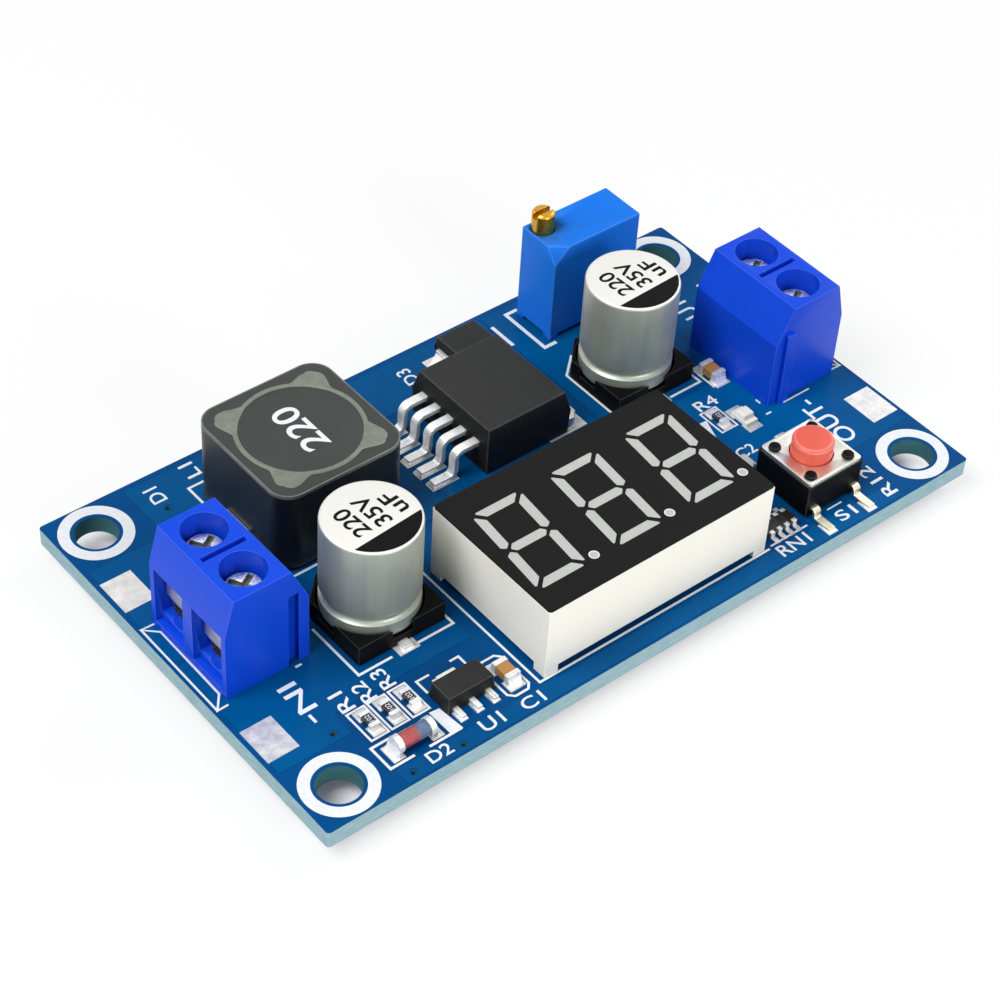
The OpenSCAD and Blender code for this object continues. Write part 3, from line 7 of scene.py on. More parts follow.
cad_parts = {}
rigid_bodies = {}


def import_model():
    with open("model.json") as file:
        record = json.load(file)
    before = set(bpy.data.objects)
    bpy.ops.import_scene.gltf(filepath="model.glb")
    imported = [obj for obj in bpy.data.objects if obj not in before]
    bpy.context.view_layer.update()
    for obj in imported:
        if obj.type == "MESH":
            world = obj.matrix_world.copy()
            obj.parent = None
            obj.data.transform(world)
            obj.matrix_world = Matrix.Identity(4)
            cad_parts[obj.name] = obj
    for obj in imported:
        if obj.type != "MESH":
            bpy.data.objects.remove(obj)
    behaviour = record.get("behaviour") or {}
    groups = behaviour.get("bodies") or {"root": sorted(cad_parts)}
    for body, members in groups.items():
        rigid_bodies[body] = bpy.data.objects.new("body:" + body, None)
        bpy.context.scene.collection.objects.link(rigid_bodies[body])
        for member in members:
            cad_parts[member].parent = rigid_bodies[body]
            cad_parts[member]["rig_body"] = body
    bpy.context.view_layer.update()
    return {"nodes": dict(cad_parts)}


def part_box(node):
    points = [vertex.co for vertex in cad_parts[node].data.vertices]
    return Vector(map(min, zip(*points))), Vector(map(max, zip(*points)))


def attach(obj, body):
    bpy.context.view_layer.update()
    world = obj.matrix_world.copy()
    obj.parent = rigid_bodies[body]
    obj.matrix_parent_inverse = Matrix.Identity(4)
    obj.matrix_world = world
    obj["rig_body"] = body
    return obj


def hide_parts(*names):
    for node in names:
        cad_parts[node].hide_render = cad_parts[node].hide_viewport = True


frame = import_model()
nodes = frame["nodes"]
scene = bpy.context.scene
mm = 0.001
boardLow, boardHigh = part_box("circuit_board")
boardTop, boardHalf = boardHigh.z, (boardHigh - boardLow) / 2
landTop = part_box("solder_lands")[1].z
cadWeld, spinWeld = 0.002 * mm, 0.001 * mm  # reach within which doubled vertices merge
print("frame loaded with", len(nodes), "nodes")


# screen colour, 0 to 255, as the linear colour that a shader takes
def tone(red, green, blue):
    return tuple(((c / 255 + 0.055) / 1.055) ** 2.4 if c > 10 else c / 3294.6
                 for c in (red, green, blue)) + (1.0,)


def darker(colour, share):
    return tuple(c * share for c in colour[:3]) + (1.0,)


def paler(colour, share):
    return tuple(c + (1 - c) * share for c in colour[:3]) + (1.0,)


# rounded corners: a painted highlight on moulded colour, and rubbing on metal: least share, share added in
# patches, size of the patches
cornerHighlightAndRub = {"least": 0.35, "more": 0.9, "patch": 0.5}


# one socket of a shader tree; sums on it add Math nodes
class Wire:
    def __init__(self, tree, socket=None):
        self.tree = tree
        self.socket = socket

    def node(self, kind, settings=None, sockets=None, out=0):
        made = self.tree.nodes.new("ShaderNode" + kind)
        for name, value in (settings or {}).items():
            setattr(made, name, value)
        for name, value in (sockets or {}).items():
            if isinstance(value, Wire):
                self.tree.links.new(value.socket, made.inputs[name])
            else:
                made.inputs[name].default_value = value
        return Wire(self.tree, made.outputs[out] if made.outputs else None)

    def maths(self, operation, *values):
        return self.node("Math", {"operation": operation}, dict(enumerate((self,) + values)))

    def __add__(self, other):
        return self.maths("ADD", other)

    def __sub__(self, other):
        return self.maths("SUBTRACT", other)

    def __rsub__(self, other):
        return self.maths("MULTIPLY", -1.0) + other

    def __mul__(self, other):
        return self.maths("MULTIPLY", other)

    def __gt__(self, other):
        return self.maths("GREATER_THAN", other)

    def __lt__(self, other):
        return self.maths("LESS_THAN", other)

    def __abs__(self):
        return self.maths("ABSOLUTE")

    __radd__ = __add__
    __rmul__ = __mul__

    # colour a where this is 0 and colour b where it is 1
    def blend(self, a, b):
        return self.node("Mix", {"data_type": "RGBA"}, {0: self, 6: a, 7: b}, 2)

    # 0 below start, 1 above end, and a smooth change between
    def ramp(self, start, end):
        return self.node("MapRange", {"interpolation_type": "SMOOTHSTEP"},
                         {"Value": self, "From Min": start, "From Max": end})

    # cloudy values about 0.5, in patches of that size in millimetres
    def cloud(self, patch, detail=3, rough=0.55):
        return self.node("TexNoise", None,
                         {"Vector": self, "Scale": 1000 / patch, "Detail": detail, "Roughness": rough})

    def stretched(self, x, y, z):
        return self.node("Mapping", None, {"Vector": self, "Scale": (x, y, z)})

    def axis(self, name):
        return self.node("SeparateXYZ", None, {"Vector": self}, name)

    # relief of that depth in millimetres
    def bump(self, depth):
        return self.node("Bump", None, {"Height": self, "Distance": depth * mm, "Strength": 1.0})

    # 1 where a named attribute of the mesh is set
    def marked(self, name):
        return self.node("Attribute", {"attribute_name": name}, out="Fac")

    # 1 on the rounded corners of a piece, in patches: a painted highlight on moulded colour, and rubbed
    # smoother on metal
    def corners(self):
        rub = cornerHighlightAndRub["least"] + self.cloud(cornerHighlightAndRub["patch"], 2) * cornerHighlightAndRub["more"]
        return self.marked("corner") * rub


# new material with its constants, and the object's own coordinates
def newLook(name, constants):
    look = bpy.data.materials.new(name)
    look.use_nodes = True
    for socket, value in constants.items():
        look.node_tree.nodes["Principled BSDF"].inputs[socket].default_value = value
    return look, Wire(look.node_tree).node("TexCoord", out="Object")


def feed(look, wires):
    for socket, wire in wires.items():
        look.node_tree.links.new(wire.socket, look.node_tree.nodes["Principled BSDF"].inputs[socket])
    return look


topFacing = 0.7  # upward part of a normal beyond which a face is a top


# moulded plastic: faint cloudiness, a fine pitted skin, uneven gloss, and sides painted darker as shade if a
# side colour is given
def mouldedLook(name, colour, gloss):
    look, place = newLook(name, {"Specular IOR Level": gloss["specular"]})
    cloudy = place.cloud(gloss["patch"])
    skin = place.cloud(gloss["grain"], 2)
    body = cloudy.blend(darker(colour, gloss["dark"]), colour)
    if "side" in gloss:
        # faces that are not tops take the darker side colour: painted shade
        top = place.node("TexCoord", out="Normal").axis("Z") > topFacing
        body = top.blend(gloss["side"], body)
    return feed(look, {
        # rounded corners painted paler: a painted highlight
        "Base Color": place.corners().blend(body, paler(colour, gloss["rub"])),
        "Roughness": gloss["rough"] + (place.cloud(gloss["patch"] * 0.6) - 0.5) * gloss["uneven"],
        "Normal": skin.bump(gloss["depth"]),
    })


# plated metal: streaked along the stretch, stained, and with painted shade below a height where one is given
def metalLook(name, colour, finish, shadeBelowZ=None):
    look, place = newLook(name, {"Metallic": 1.0})
    along = place.stretched(*finish["stretch"])
    streaks = along.cloud(finish["streak"], 4, 0.65)
    stains = place.cloud(finish["patch"], 2)
    skin = (stains * 0.6 + streaks * 0.4).blend(darker(colour, finish["dull"]), colour)
    if shadeBelowZ:
        # darker colour below that height: painted shade in the slots and on the sides
        skin = (place.axis("Z") < shadeBelowZ).blend(skin, finish["grime"])
    rough = finish["rough"] + (streaks - 0.5) * finish["uneven"]
    return feed(look, {
        "Base Color": skin,
        "Roughness": rough - place.corners() * finish["polish"],
        "Normal": streaks.bump(finish["depth"]),
    })


boardFinish = {
    "mask": tone(0, 84, 148), "maskDeep": tone(0, 52, 102), "patch": 16.0, "specular": 0.06,
    "edge": tone(178, 204, 208), "edgeFibre": tone(108, 148, 160), "hole": tone(64, 112, 116),
    "rough": 0.32, "wallRough": 0.38, "uneven": 0.1,
    # sizes of the patterns, their shares of the relief, and its depth
    "fibre": 0.32, "fibreStretch": (0.25, 0.25, 1), "weave": 0.9, "weaveBend": 0.6, "pits": 0.35,
    "fibreRelief": 2.0, "weaveRelief": 0.12, "pitRelief": 0.5, "depth": 0.012,
    # thickness of the mask, and width of the band by the outline that is cut edge
    "skin": 0.02, "band": 0.7,
    # the mask where it lies over copper
    "pour": tone(0, 95, 157), "pourDeep": tone(0, 57, 106), "pourRough": 0.27, "pourDepth": 0.008,
}


# blue mask on both sides, cut glass laminate round the edge, plated grey-green inside the holes
def boardLook(finish):
    look, place = newLook("maskedLaminate", {"Specular IOR Level": finish["specular"]})
    x, y, z = place.axis("X"), place.axis("Y"), place.axis("Z")
    skin, band = finish["skin"] * mm, finish["band"] * mm
    wall = (z < boardTop - skin) * (z > boardLow.z + skin)
    outer = (abs(x) > boardHalf.x - band).maths("MAXIMUM", abs(y) > boardHalf.y - band)
    cloudy = place.cloud(finish["patch"], 4)
    mask = cloudy.blend(finish["maskDeep"], finish["mask"])
    fibres = place.stretched(*finish["fibreStretch"]).cloud(finish["fibre"], 4, 0.7)
    cut = fibres.blend(finish["edgeFibre"], finish["edge"])
    sides = outer.blend(finish["hole"], cut)
    weave = place.node("TexWave", {"wave_type": "BANDS", "bands_direction": "DIAGONAL"},
                       {"Vector": place, "Scale": 1000 / finish["weave"] / math.tau,
                        "Distortion": finish["weaveBend"]})
    pits = place.cloud(finish["pits"], 2)
    relief = pits * finish["pitRelief"] + weave * finish["weaveRelief"] * (1 - wall)
    relief += fibres * wall * finish["fibreRelief"]
    return feed(look, {
        "Base Color": wall.blend(mask, sides),
        "Roughness": finish["rough"] + wall * finish["wallRough"] + (cloudy - 0.5) * finish["uneven"],
        "Normal": relief.bump(finish["depth"]),
    })


# same mask where it lies over copper: a little lighter
def pourLook(finish):
    look, place = newLook("maskOverCopper", {"Specular IOR Level": finish["specular"]})
    cloudy = place.cloud(finish["patch"], 4)
    return feed(look, {
        "Base Color": cloudy.blend(finish["pourDeep"], finish["pour"]),
        "Roughness": finish["pourRough"] + (cloudy - 0.5) * finish["uneven"],
        "Normal": place.cloud(finish["pits"], 2).bump(finish["pourDepth"]),
    })


inkFinish = {"worn": 0.35, "rough": 0.55, "uneven": 0.2, "depth": 0.006}


# screen print: ink that is worn thin in places
def printLook(name, colour, thin, specular):
    look, place = newLook(name, {"Specular IOR Level": specular})
    worn = place.cloud(inkFinish["worn"], 4, 0.7)
    return feed(look, {
        "Base Color": worn.blend(thin, colour),
        "Roughness": inkFinish["rough"] + (worn - 0.5) * inkFinish["uneven"],
        "Normal": worn.bump(inkFinish["depth"]),
    })


canFinish = {
    "side": tone(184, 190, 178), "seam": tone(144, 152, 140), "top": tone(224, 224, 218), "topBand": 0.12,
    "marks": 0.5, "stretch": (1, 1, 0.06), "smudge": 3.0, "rough": 0.42, "uneven": 0.16, "depth": 0.006,
    # metal of the side, and what the top's lacquer takes from it and adds to the roughness
    "metal": 0.52, "lacquer": 0.3, "lacquerRough": 0.12,
}


# drawn aluminium: upright draw marks on the side, a paler lacquered top
def canLook(finish, topZ):
    look, place = newLook("drawnAluminium", {})
    top = place.axis("Z") > topZ - finish["topBand"] * mm
    draw = place.stretched(*finish["stretch"]).cloud(finish["marks"], 4, 0.65)
    smudge = place.cloud(finish["smudge"], 3)
    side = (draw * 0.5 + smudge * 0.5).blend(finish["seam"], finish["side"])
    return feed(look, {
        "Base Color": top.blend(side, finish["top"]),
        "Metallic": finish["metal"] - top * finish["lacquer"],
        "Roughness": finish["rough"] + (draw - 0.5) * finish["uneven"] + top * finish["lacquerRough"],
        "Normal": draw.bump(finish["depth"]),
    })


coreFinish = {
    "ground": tone(50, 54, 51), "groundDeep": tone(30, 33, 31),
    "side": tone(17, 20, 21), "sideDeep": tone(7, 9, 10), "grain": 0.22, "patch": 2.4,
    "specular": 0.45, "rough": 0.42, "topRough": 0.16, "uneven": 0.15, "depth": 0.02,
    # painted highlight round the top's outline: colour, width, least share, patches, and the depth of the top
    # that it lies on
    "rubbed": tone(118, 123, 118), "rim": 0.13, "rubLeast": 0.2, "rubPatch": 1.2, "topBand": 0.3,
    "cornerRadius": 1.9,
}


# sintered core: speckled grey on the ground top, darker on the sides, with a patchy painted highlight round
# the top's outline
def ferriteLook(finish):
    look, place = newLook("sinteredCore", {"Specular IOR Level": finish["specular"]})
    grain = place.cloud(finish["grain"], 4, 0.7)
    patches = place.cloud(finish["patch"], 3)
    low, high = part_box("inductor_shield")
    middle, half = (low + high) / 2, (high - low) / 2
    top = place.axis("Z") > high.z - finish["topBand"] * mm
    radius = finish["cornerRadius"] * mm
    past = [(abs(place.axis(name) - middle[i]) - (half[i] - radius)).maths("MAXIMUM", 0.0)
            for i, name in enumerate("XY")]
    outline = (past[0] * past[0] + past[1] * past[1]).maths("SQRT") > radius - finish["rim"] * mm
    ground = (grain * 0.6 + patches * 0.4).blend(finish["groundDeep"], finish["ground"])
    side = patches.blend(finish["sideDeep"], finish["side"])
    # pale line painted round the top's outline: a painted highlight
    rubbed = outline * top * (finish["rubLeast"] + place.cloud(finish["rubPatch"], 3))
    return feed(look, {
        "Base Color": rubbed.blend(top.blend(side, ground), finish["rubbed"]),
        "Roughness": finish["rough"] + top * finish["topRough"] + (grain - 0.5) * finish["uneven"],
        "Normal": (grain * 0.7 + patches * 0.3).bump(finish["depth"]),
    })


adhesiveFinish = {
    "dark": tone(92, 98, 88), "pale": tone(134, 140, 128), "specular": 0.4, "patch": 0.7, "pitScale": 2600.0,
    "rough": 0.5, "uneven": 0.25, "depth": 0.05,
}


# set resin: mottled, with small pits
def adhesiveLook(finish):
    look, place = newLook("setResin", {"Specular IOR Level": finish["specular"]})
    mottle = place.cloud(finish["patch"], 4, 0.65)
    pits = place.node("TexVoronoi", {"feature": "F1"},
                      {"Vector": place, "Scale": finish["pitScale"]}, "Distance")
    return feed(look, {
        "Base Color": mottle.blend(finish["dark"], finish["pale"]),
        "Roughness": finish["rough"] + (mottle - 0.5) * finish["uneven"],
        "Normal": (mottle * 0.7 + pits * 0.3).bump(finish["depth"]),
    })


windingFinish = {
    "dark": tone(92, 44, 20), "bright": tone(196, 110, 58), "metal": 0.8, "turnScale": 320.0,
    "rough": 0.28, "uneven": 0.1, "depth": 0.12,
}


# enamelled wire laid in turns, its colour painted dark between the turns and bright on their crowns: painted
# shade and painted highlight
def windingLook(finish):
    look, place = newLook("enamelledWire", {"Metallic": finish["metal"]})
    turns = place.node("TexWave", {"wave_type": "BANDS", "bands_direction": "Z", "wave_profile": "SIN"},
                       {"Vector": place, "Scale": finish["turnScale"]})
    return feed(look, {
        # dark and bright bands: painted shade between turns, painted highlight on them
        "Base Color": turns.blend(finish["dark"], finish["bright"]),
        "Roughness": finish["rough"] + turns * finish["uneven"],
        "Normal": turns.bump(finish["depth"]),
    })


beadFinish = {
    "red": (tone(132, 30, 34), tone(196, 84, 80)), "blue": (tone(42, 58, 96), tone(104, 128, 164)),
    # where the colours meet, from the bead's middle, and half the width of the change
    "meet": 0.2, "soft": 0.25, "patch": 0.5, "depth": 0.01,
    "constants": {"IOR": 1.5, "Coat Weight": 0.8, "Coat Roughness": 0.04, "Roughness": 0.12},
}


# glass bead: red die at one end, blue-grey lead bond at the other
def glassLook(finish):
    look, place = newLook("beadGlass", finish["constants"])
    low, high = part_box("zener_glass")
    meet, soft = (low.x + high.x) / 2 + finish["meet"] * mm, finish["soft"] * mm
    end = place.axis("X").ramp(meet - soft, meet + soft)
    swirl = place.cloud(finish["patch"], 3)
    colour = end.blend(swirl.blend(*finish["red"]), swirl.blend(*finish["blue"]))
    return feed(look, {"Base Color": colour, "Normal": swirl.bump(finish["depth"])})


resinFinish = {
    "haze": 0.9, "uneven": 0.12, "skin": 0.3, "depth": 0.006,
    "constants": {"Specular IOR Level": 0.5, "Subsurface Weight": 0.15, "Subsurface Scale": 0.0006},
}


# clear or milky cast resin, with a paler rim where the piece marks one
def resinLook(name, colour, deep, rim, rough):
    look, place = newLook(name, resinFinish["constants"])
    haze = place.cloud(resinFinish["haze"], 3)
    return feed(look, {
        "Base Color": place.marked("rim").blend(haze.blend(deep, colour), rim),
        "Roughness": rough + (haze - 0.5) * resinFinish["uneven"],
        "Normal": place.cloud(resinFinish["skin"], 2).bump(resinFinish["depth"]),
    })


solderFinish = {"metal": 0.5, "flow": 0.7, "contrast": 2.2, "frost": 0.16, "uneven": 0.2, "depth": 0.03}


# tin and solder: bright, uneven, with a frosty skin in places
def solderLook(name, bright, frosty, rough):
    look, place = newLook(name, {"Metallic": solderFinish["metal"]})
    flow = (place.cloud(solderFinish["flow"], 4, 0.6) - 0.5) * solderFinish["contrast"] + 0.5
    frost = place.cloud(solderFinish["frost"], 2)
    return feed(look, {
        "Base Color": flow.blend(frosty, bright),
        "Roughness": rough + (flow - 0.5) * solderFinish["uneven"],
        "Normal": (flow * 0.8 + frost * 0.2).bump(solderFinish["depth"]),
    })


# the last share of each gloss is how much paler rounded corners are painted, as a highlight
satin = {
    "specular": 0.35, "patch": 4.0, "grain": 0.12, "dark": 0.86, "rough": 0.33, "uneven": 0.12,
    "depth": 0.006, "rub": 0.12,
}
matt = {
    "specular": 0.25, "patch": 2.0, "grain": 0.09, "dark": 0.72, "rough": 0.55, "uneven": 0.16,
    "depth": 0.02, "rub": 0.03,
}
plated = {
    "stretch": (1, 1, 1), "streak": 0.35, "patch": 1.6, "dull": 0.82, "rough": 0.28, "uneven": 0.16,
    "depth": 0.01, "polish": 0.08,
}
screwPlated = dict(plated, streak=0.14, rough=0.3, uneven=0.4, depth=0.05,
                   grime=tone(158, 163, 158), clean=0.1)
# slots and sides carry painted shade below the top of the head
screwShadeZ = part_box("input_clamp_screw_positive")[1].z - screwPlated["clean"] * mm
tin = solderLook("brightTin", tone(254, 254, 252), tone(230, 232, 232), 0.34)
looks = dict.fromkeys((
    "pin_solder", "trimmer_pins", "display_pins", "inductor_terminals", "converter_leads", "diode_terminals",
    "input_capacitor_leads", "output_capacitor_leads", "meter_chip_leads", "regulator_leads",
    "ceramic_capacitor_ends", "chip_resistor_ends", "zener_caps", "resistor_array_ends"), tin)
looks.update({
    "circuit_board": boardLook(boardFinish), "pour": pourLook(boardFinish),
    "zener_glass": glassLook(beadFinish),
    "solder_lands": solderLook("tinnedLand", tone(232, 231, 227), tone(204, 204, 204), 0.42),
    "inductor_shield": ferriteLook(coreFinish), "inductor_winding": windingLook(windingFinish),
    "inductor_adhesive": adhesiveLook(adhesiveFinish),
    "ink": printLook("whiteInk", tone(242, 243, 244), tone(206, 214, 222), 0.3),
    "blackInk": printLook("blackInk", tone(10, 10, 11), tone(20, 20, 21), 0.06),
    "display_segments": resinLook("segmentResin", tone(198, 196, 188), tone(184, 182, 174),
                                  tone(232, 231, 225), 0.38),
    "indicator_lens": resinLook("indicatorLens", tone(250, 249, 240), tone(238, 236, 222),
                                tone(250, 249, 240), 0.16),
})
# piece or shared finish: name of the material, colour, gloss or plating, and where painted shade begins
moulded = {
    "terminal_housing": ("terminalMoulding", (14, 73, 218), dict(satin, rough=0.34, specular=0.16, rub=0.09)),
    "trimmer_case": ("trimmerMoulding", (20, 118, 230), dict(satin, rough=0.42, specular=0.15, rub=0.03)),
    # package sides painted darker than the tops: painted shade
    "moulding": ("packageMoulding", (42, 43, 42), dict(matt, specular=0.18, side=tone(22, 23, 23))),
    "base": ("baseMoulding", (9, 10, 10), dict(matt, rough=0.5, specular=0.07)),
    "display_housing": ("displayMoulding", (246, 244, 233), dict(satin, dark=0.95, rough=0.4)),
    "display_face": ("displayFilm", (15, 15, 15), dict(matt, patch=6.0, dark=0.9, rough=0.5, specular=0.1)),
    "display_backing": ("backingLaminate", (70, 112, 70), dict(matt, grain=0.3)),
    "switch_button": ("buttonMoulding", (226, 94, 76), dict(satin, patch=2.0, rough=0.4)),
    "ceramic_capacitor_bodies": ("firedCeramic", (186, 136, 78), dict(matt, patch=0.6, dark=0.8, rough=0.4)),
    "chip_resistor_bodies": ("glazedChip", (36, 36, 40), dict(satin, patch=0.7, rough=0.3)),
    "indicator_base": ("indicatorBase", (240, 238, 230), dict(matt, dark=0.92)),
}
metals = {
    "converter_tab": ("heatTab", (222, 222, 220), dict(plated, stretch=(1, 0.15, 1), rough=0.34)),
    "clamp_cages": ("cagePlating", (196, 198, 202), dict(plated, stretch=(0.2, 1, 1))),
    "wire_guard": ("leafPlating", (236, 234, 226), dict(plated, stretch=(1, 0.2, 1), rough=0.36)),
    "clamp_screw": ("screwPlating", (246, 247, 247), screwPlated, screwShadeZ),
    "trimmer_screw": ("turnedBrass", (214, 164, 62), dict(plated, stretch=(1, 1, 6), streak=0.3)),
    "switch_cover": ("coverPlating", (226, 225, 214), dict(plated, stretch=(0.15, 1, 1), rough=0.36)),
    "switch_legs": ("legPlating", (232, 226, 202), dict(plated, rough=0.34)),
}
for kind, table in ((mouldedLook, moulded), (metalLook, metals)):
    for node, (name, colour, *finish) in table.items():
        looks[node] = kind(name, tone(*colour), *finish)
print("materials ready:", len(bpy.data.materials))


# finished mesh on a body: smooth over shallow angles, sharp over steep ones
def settle(bm, name, look, body, stands=(), sharp=20):
    mesh = bpy.data.meshes.new(name)
    bm.to_mesh(mesh)
    bm.free()
    for face in mesh.polygons:
        face.use_smooth = True
    mesh.set_sharp_from_angle(angle=math.radians(sharp))
    mesh.materials.append(look)
    piece = bpy.data.objects.new(name, mesh)
    scene.collection.objects.link(piece)
    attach(piece, body)
    if stands:
        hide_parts(*stands)


# copy of a node with its outer corners rounded over, apart from edges shorter than shortest
def rounded(node, edge, look, shortest=0.0, steep=30):
    bm = bmesh.new()
    bm.from_mesh(nodes[node].data)
    bmesh.ops.remove_doubles(bm, verts=bm.verts, dist=cadWeld)
    bmesh.ops.dissolve_limit(bm, angle_limit=math.radians(1), verts=bm.verts, edges=bm.edges)
    corners = [e for e in bm.edges if e.is_manifold and e.is_convex and e.calc_length() > shortest * mm
               and e.calc_face_angle(0) > math.radians(steep)]
    made = bmesh.ops.bevel(bm, geom=corners, offset=edge * mm, segments=2, profile=0.5, affect="EDGES",
                           material=-1, clamp_overlap=True, loop_slide=False)
    mark = bm.loops.layers.float.new("corner")
    for face in made["faces"]:
        for loop in face.loops:
            loop[mark] = 1.0
    bmesh.ops.triangulate(bm, faces=[f for f in bm.faces if len(f.verts) > 4])
    settle(bm, node + ".rounded", look, nodes[node]["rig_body"], (node,))


# rounding of each node's corners, in millimetres
cornerRounding = {
    "input_terminal_housing": 0.16, "output_terminal_housing": 0.16, "trimmer_case": 0.12,
    "trimmer_screw": 0.07, "inductor_shield": 0.22, "inductor_drum": 0.1, "inductor_terminals": 0.06,
    "converter_body": 0.1, "converter_leads": 0.09, "converter_tab": 0.08, "diode_body": 0.1,
    "diode_terminals": 0.05,
    "input_capacitor_base": 0.1, "output_capacitor_base": 0.1, "input_capacitor_leads": 0.06,
    "output_capacitor_leads": 0.06, "display_housing": 0.16, "switch_base": 0.08, "switch_cover": 0.07,
    "switch_button": 0.1, "switch_legs": 0.06, "regulator_body": 0.07, "regulator_leads": 0.06,
    "ceramic_capacitor_bodies": 0.06, "ceramic_capacitor_ends": 0.06, "chip_resistor_bodies": 0.03,
    "chip_resistor_ends": 0.024, "resistor_array_body": 0.03, "resistor_array_ends": 0.04,
    "indicator_base": 0.05, "indicator_lens": 0.1, "zener_caps": 0.1,
}
# edges shorter than this stay sharp: round rims and small feet
sharpBelow = {"trimmer_case": 0.6, "display_housing": 1.3}
# nodes that share another's finish
shared = {
    "inductor_drum": "inductor_shield", "switch_dome": "switch_cover",
    "resistor_array_body": "chip_resistor_bodies", "converter_body": "moulding", "diode_body": "moulding",
    "regulator_body": "moulding", "meter_chip_body": "moulding", "switch_base": "base",
    "input_capacitor_base": "base", "output_capacitor_base": "base",
}
for end in ("input", "output"):
    shared[end + "_terminal_housing"] = "terminal_housing"
    shared[end + "_clamp_cages"] = "clamp_cages"
    for pole in ("positive", "negative"):
        shared[f"{end}_wire_guard_{pole}"] = "wire_guard"
        shared[f"{end}_clamp_screw_{pole}"] = "clamp_screw"
        cornerRounding[f"{end}_wire_guard_{pole}"] = 0.05
        cornerRounding[f"{end}_clamp_screw_{pole}"] = 0.02


def lookOf(node):
    return looks[shared.get(node, node)]


for node, edge in cornerRounding.items():
    rounded(node, edge, lookOf(node), sharpBelow.get(node, 0))
print("corners rounded on", len(cornerRounding), "nodes")


canShape = {
    "radius": 4.0, "edge": 0.28, "foot": 0.42, "steps": 96,
    "groove": 0.34, "grooveZ": 2.05, "grooveHalf": 0.55,
    # angles along a round edge, up to a quarter turn
    "bend": (0.4, 0.8, 1.2, 1.571),
    # share of the groove's half height, share of its depth: a sharp lip below and a long slope above
    "grip": ((-1, 0), (-0.85, 0.35), (-0.6, 0.85), (-0.3, 1), (0.1, 0.85), (0.5, 0.4), (0.8, 0.1), (1, 0)),
}


# shape turned about Z from its half profile
def spun(profile, steps, closed=False):
    bm = bmesh.new()
    points = [bm.verts.new((x, 0, z)) for x, z in profile]
    line = [bm.edges.new(pair) for pair in zip(points, points[1:] + points[:1] if closed else points[1:])]
    bmesh.ops.spin(bm, geom=points + line, cent=(0, 0, 0), axis=(0, 0, 1), angle=math.tau, steps=steps,
                   use_merge=True)
    bmesh.ops.remove_doubles(bm, verts=bm.verts, dist=spinWeld)
    return bm


# can turned from its side profile: rolled foot, gripped groove, round shoulder
def turnCan(node):
    low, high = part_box(node)
    centre = (low + high) / 2
    height = (high.z - low.z) / mm
    r, edge, foot = canShape["radius"], canShape["edge"], canShape["foot"]
    bend = canShape["bend"]
    profile = [(0, 0), (r - foot, 0)]
    profile += [(r - foot + foot * math.sin(a), foot - foot * math.cos(a)) for a in bend]
    profile += [(r - canShape["groove"] * depth, canShape["grooveZ"] + canShape["grooveHalf"] * up)
                for up, depth in canShape["grip"]]
    profile += [(r - edge + edge * math.cos(a), height - edge + edge * math.sin(a)) for a in (0,) + bend]
    profile.append((0, height))
    bm = spun([(x * mm, z * mm) for x, z in profile], canShape["steps"])
    bmesh.ops.recalc_face_normals(bm, faces=bm.faces)
    bmesh.ops.translate(bm, verts=bm.verts, vec=(centre.x, centre.y, low.z))
    settle(bm, node + ".turned", canLook(canFinish, high.z), "module", (node,), sharp=40)


# flat faces made a plate, grown by that much along Z
def thicken(bm, faces, growth):
    grown = bmesh.ops.extrude_face_region(bm, geom=faces, use_keep_orig=True)
    moved = [v for v in grown["geom"] if isinstance(v, bmesh.types.BMVert)]
    bmesh.ops.translate(bm, verts=moved, vec=(0, 0, growth))
    bmesh.ops.recalc_face_normals(bm, faces=bm.faces)


def flatSpot(x, y):
    return Matrix.Translation((x * mm, y * mm, 0))


# rise from one shape to the next, least share that a mitre divides by, and steps of round shapes
printShape = {"rise": 0.0001, "mitre": 0.2, "openingSteps": 20, "ringSteps": 64}


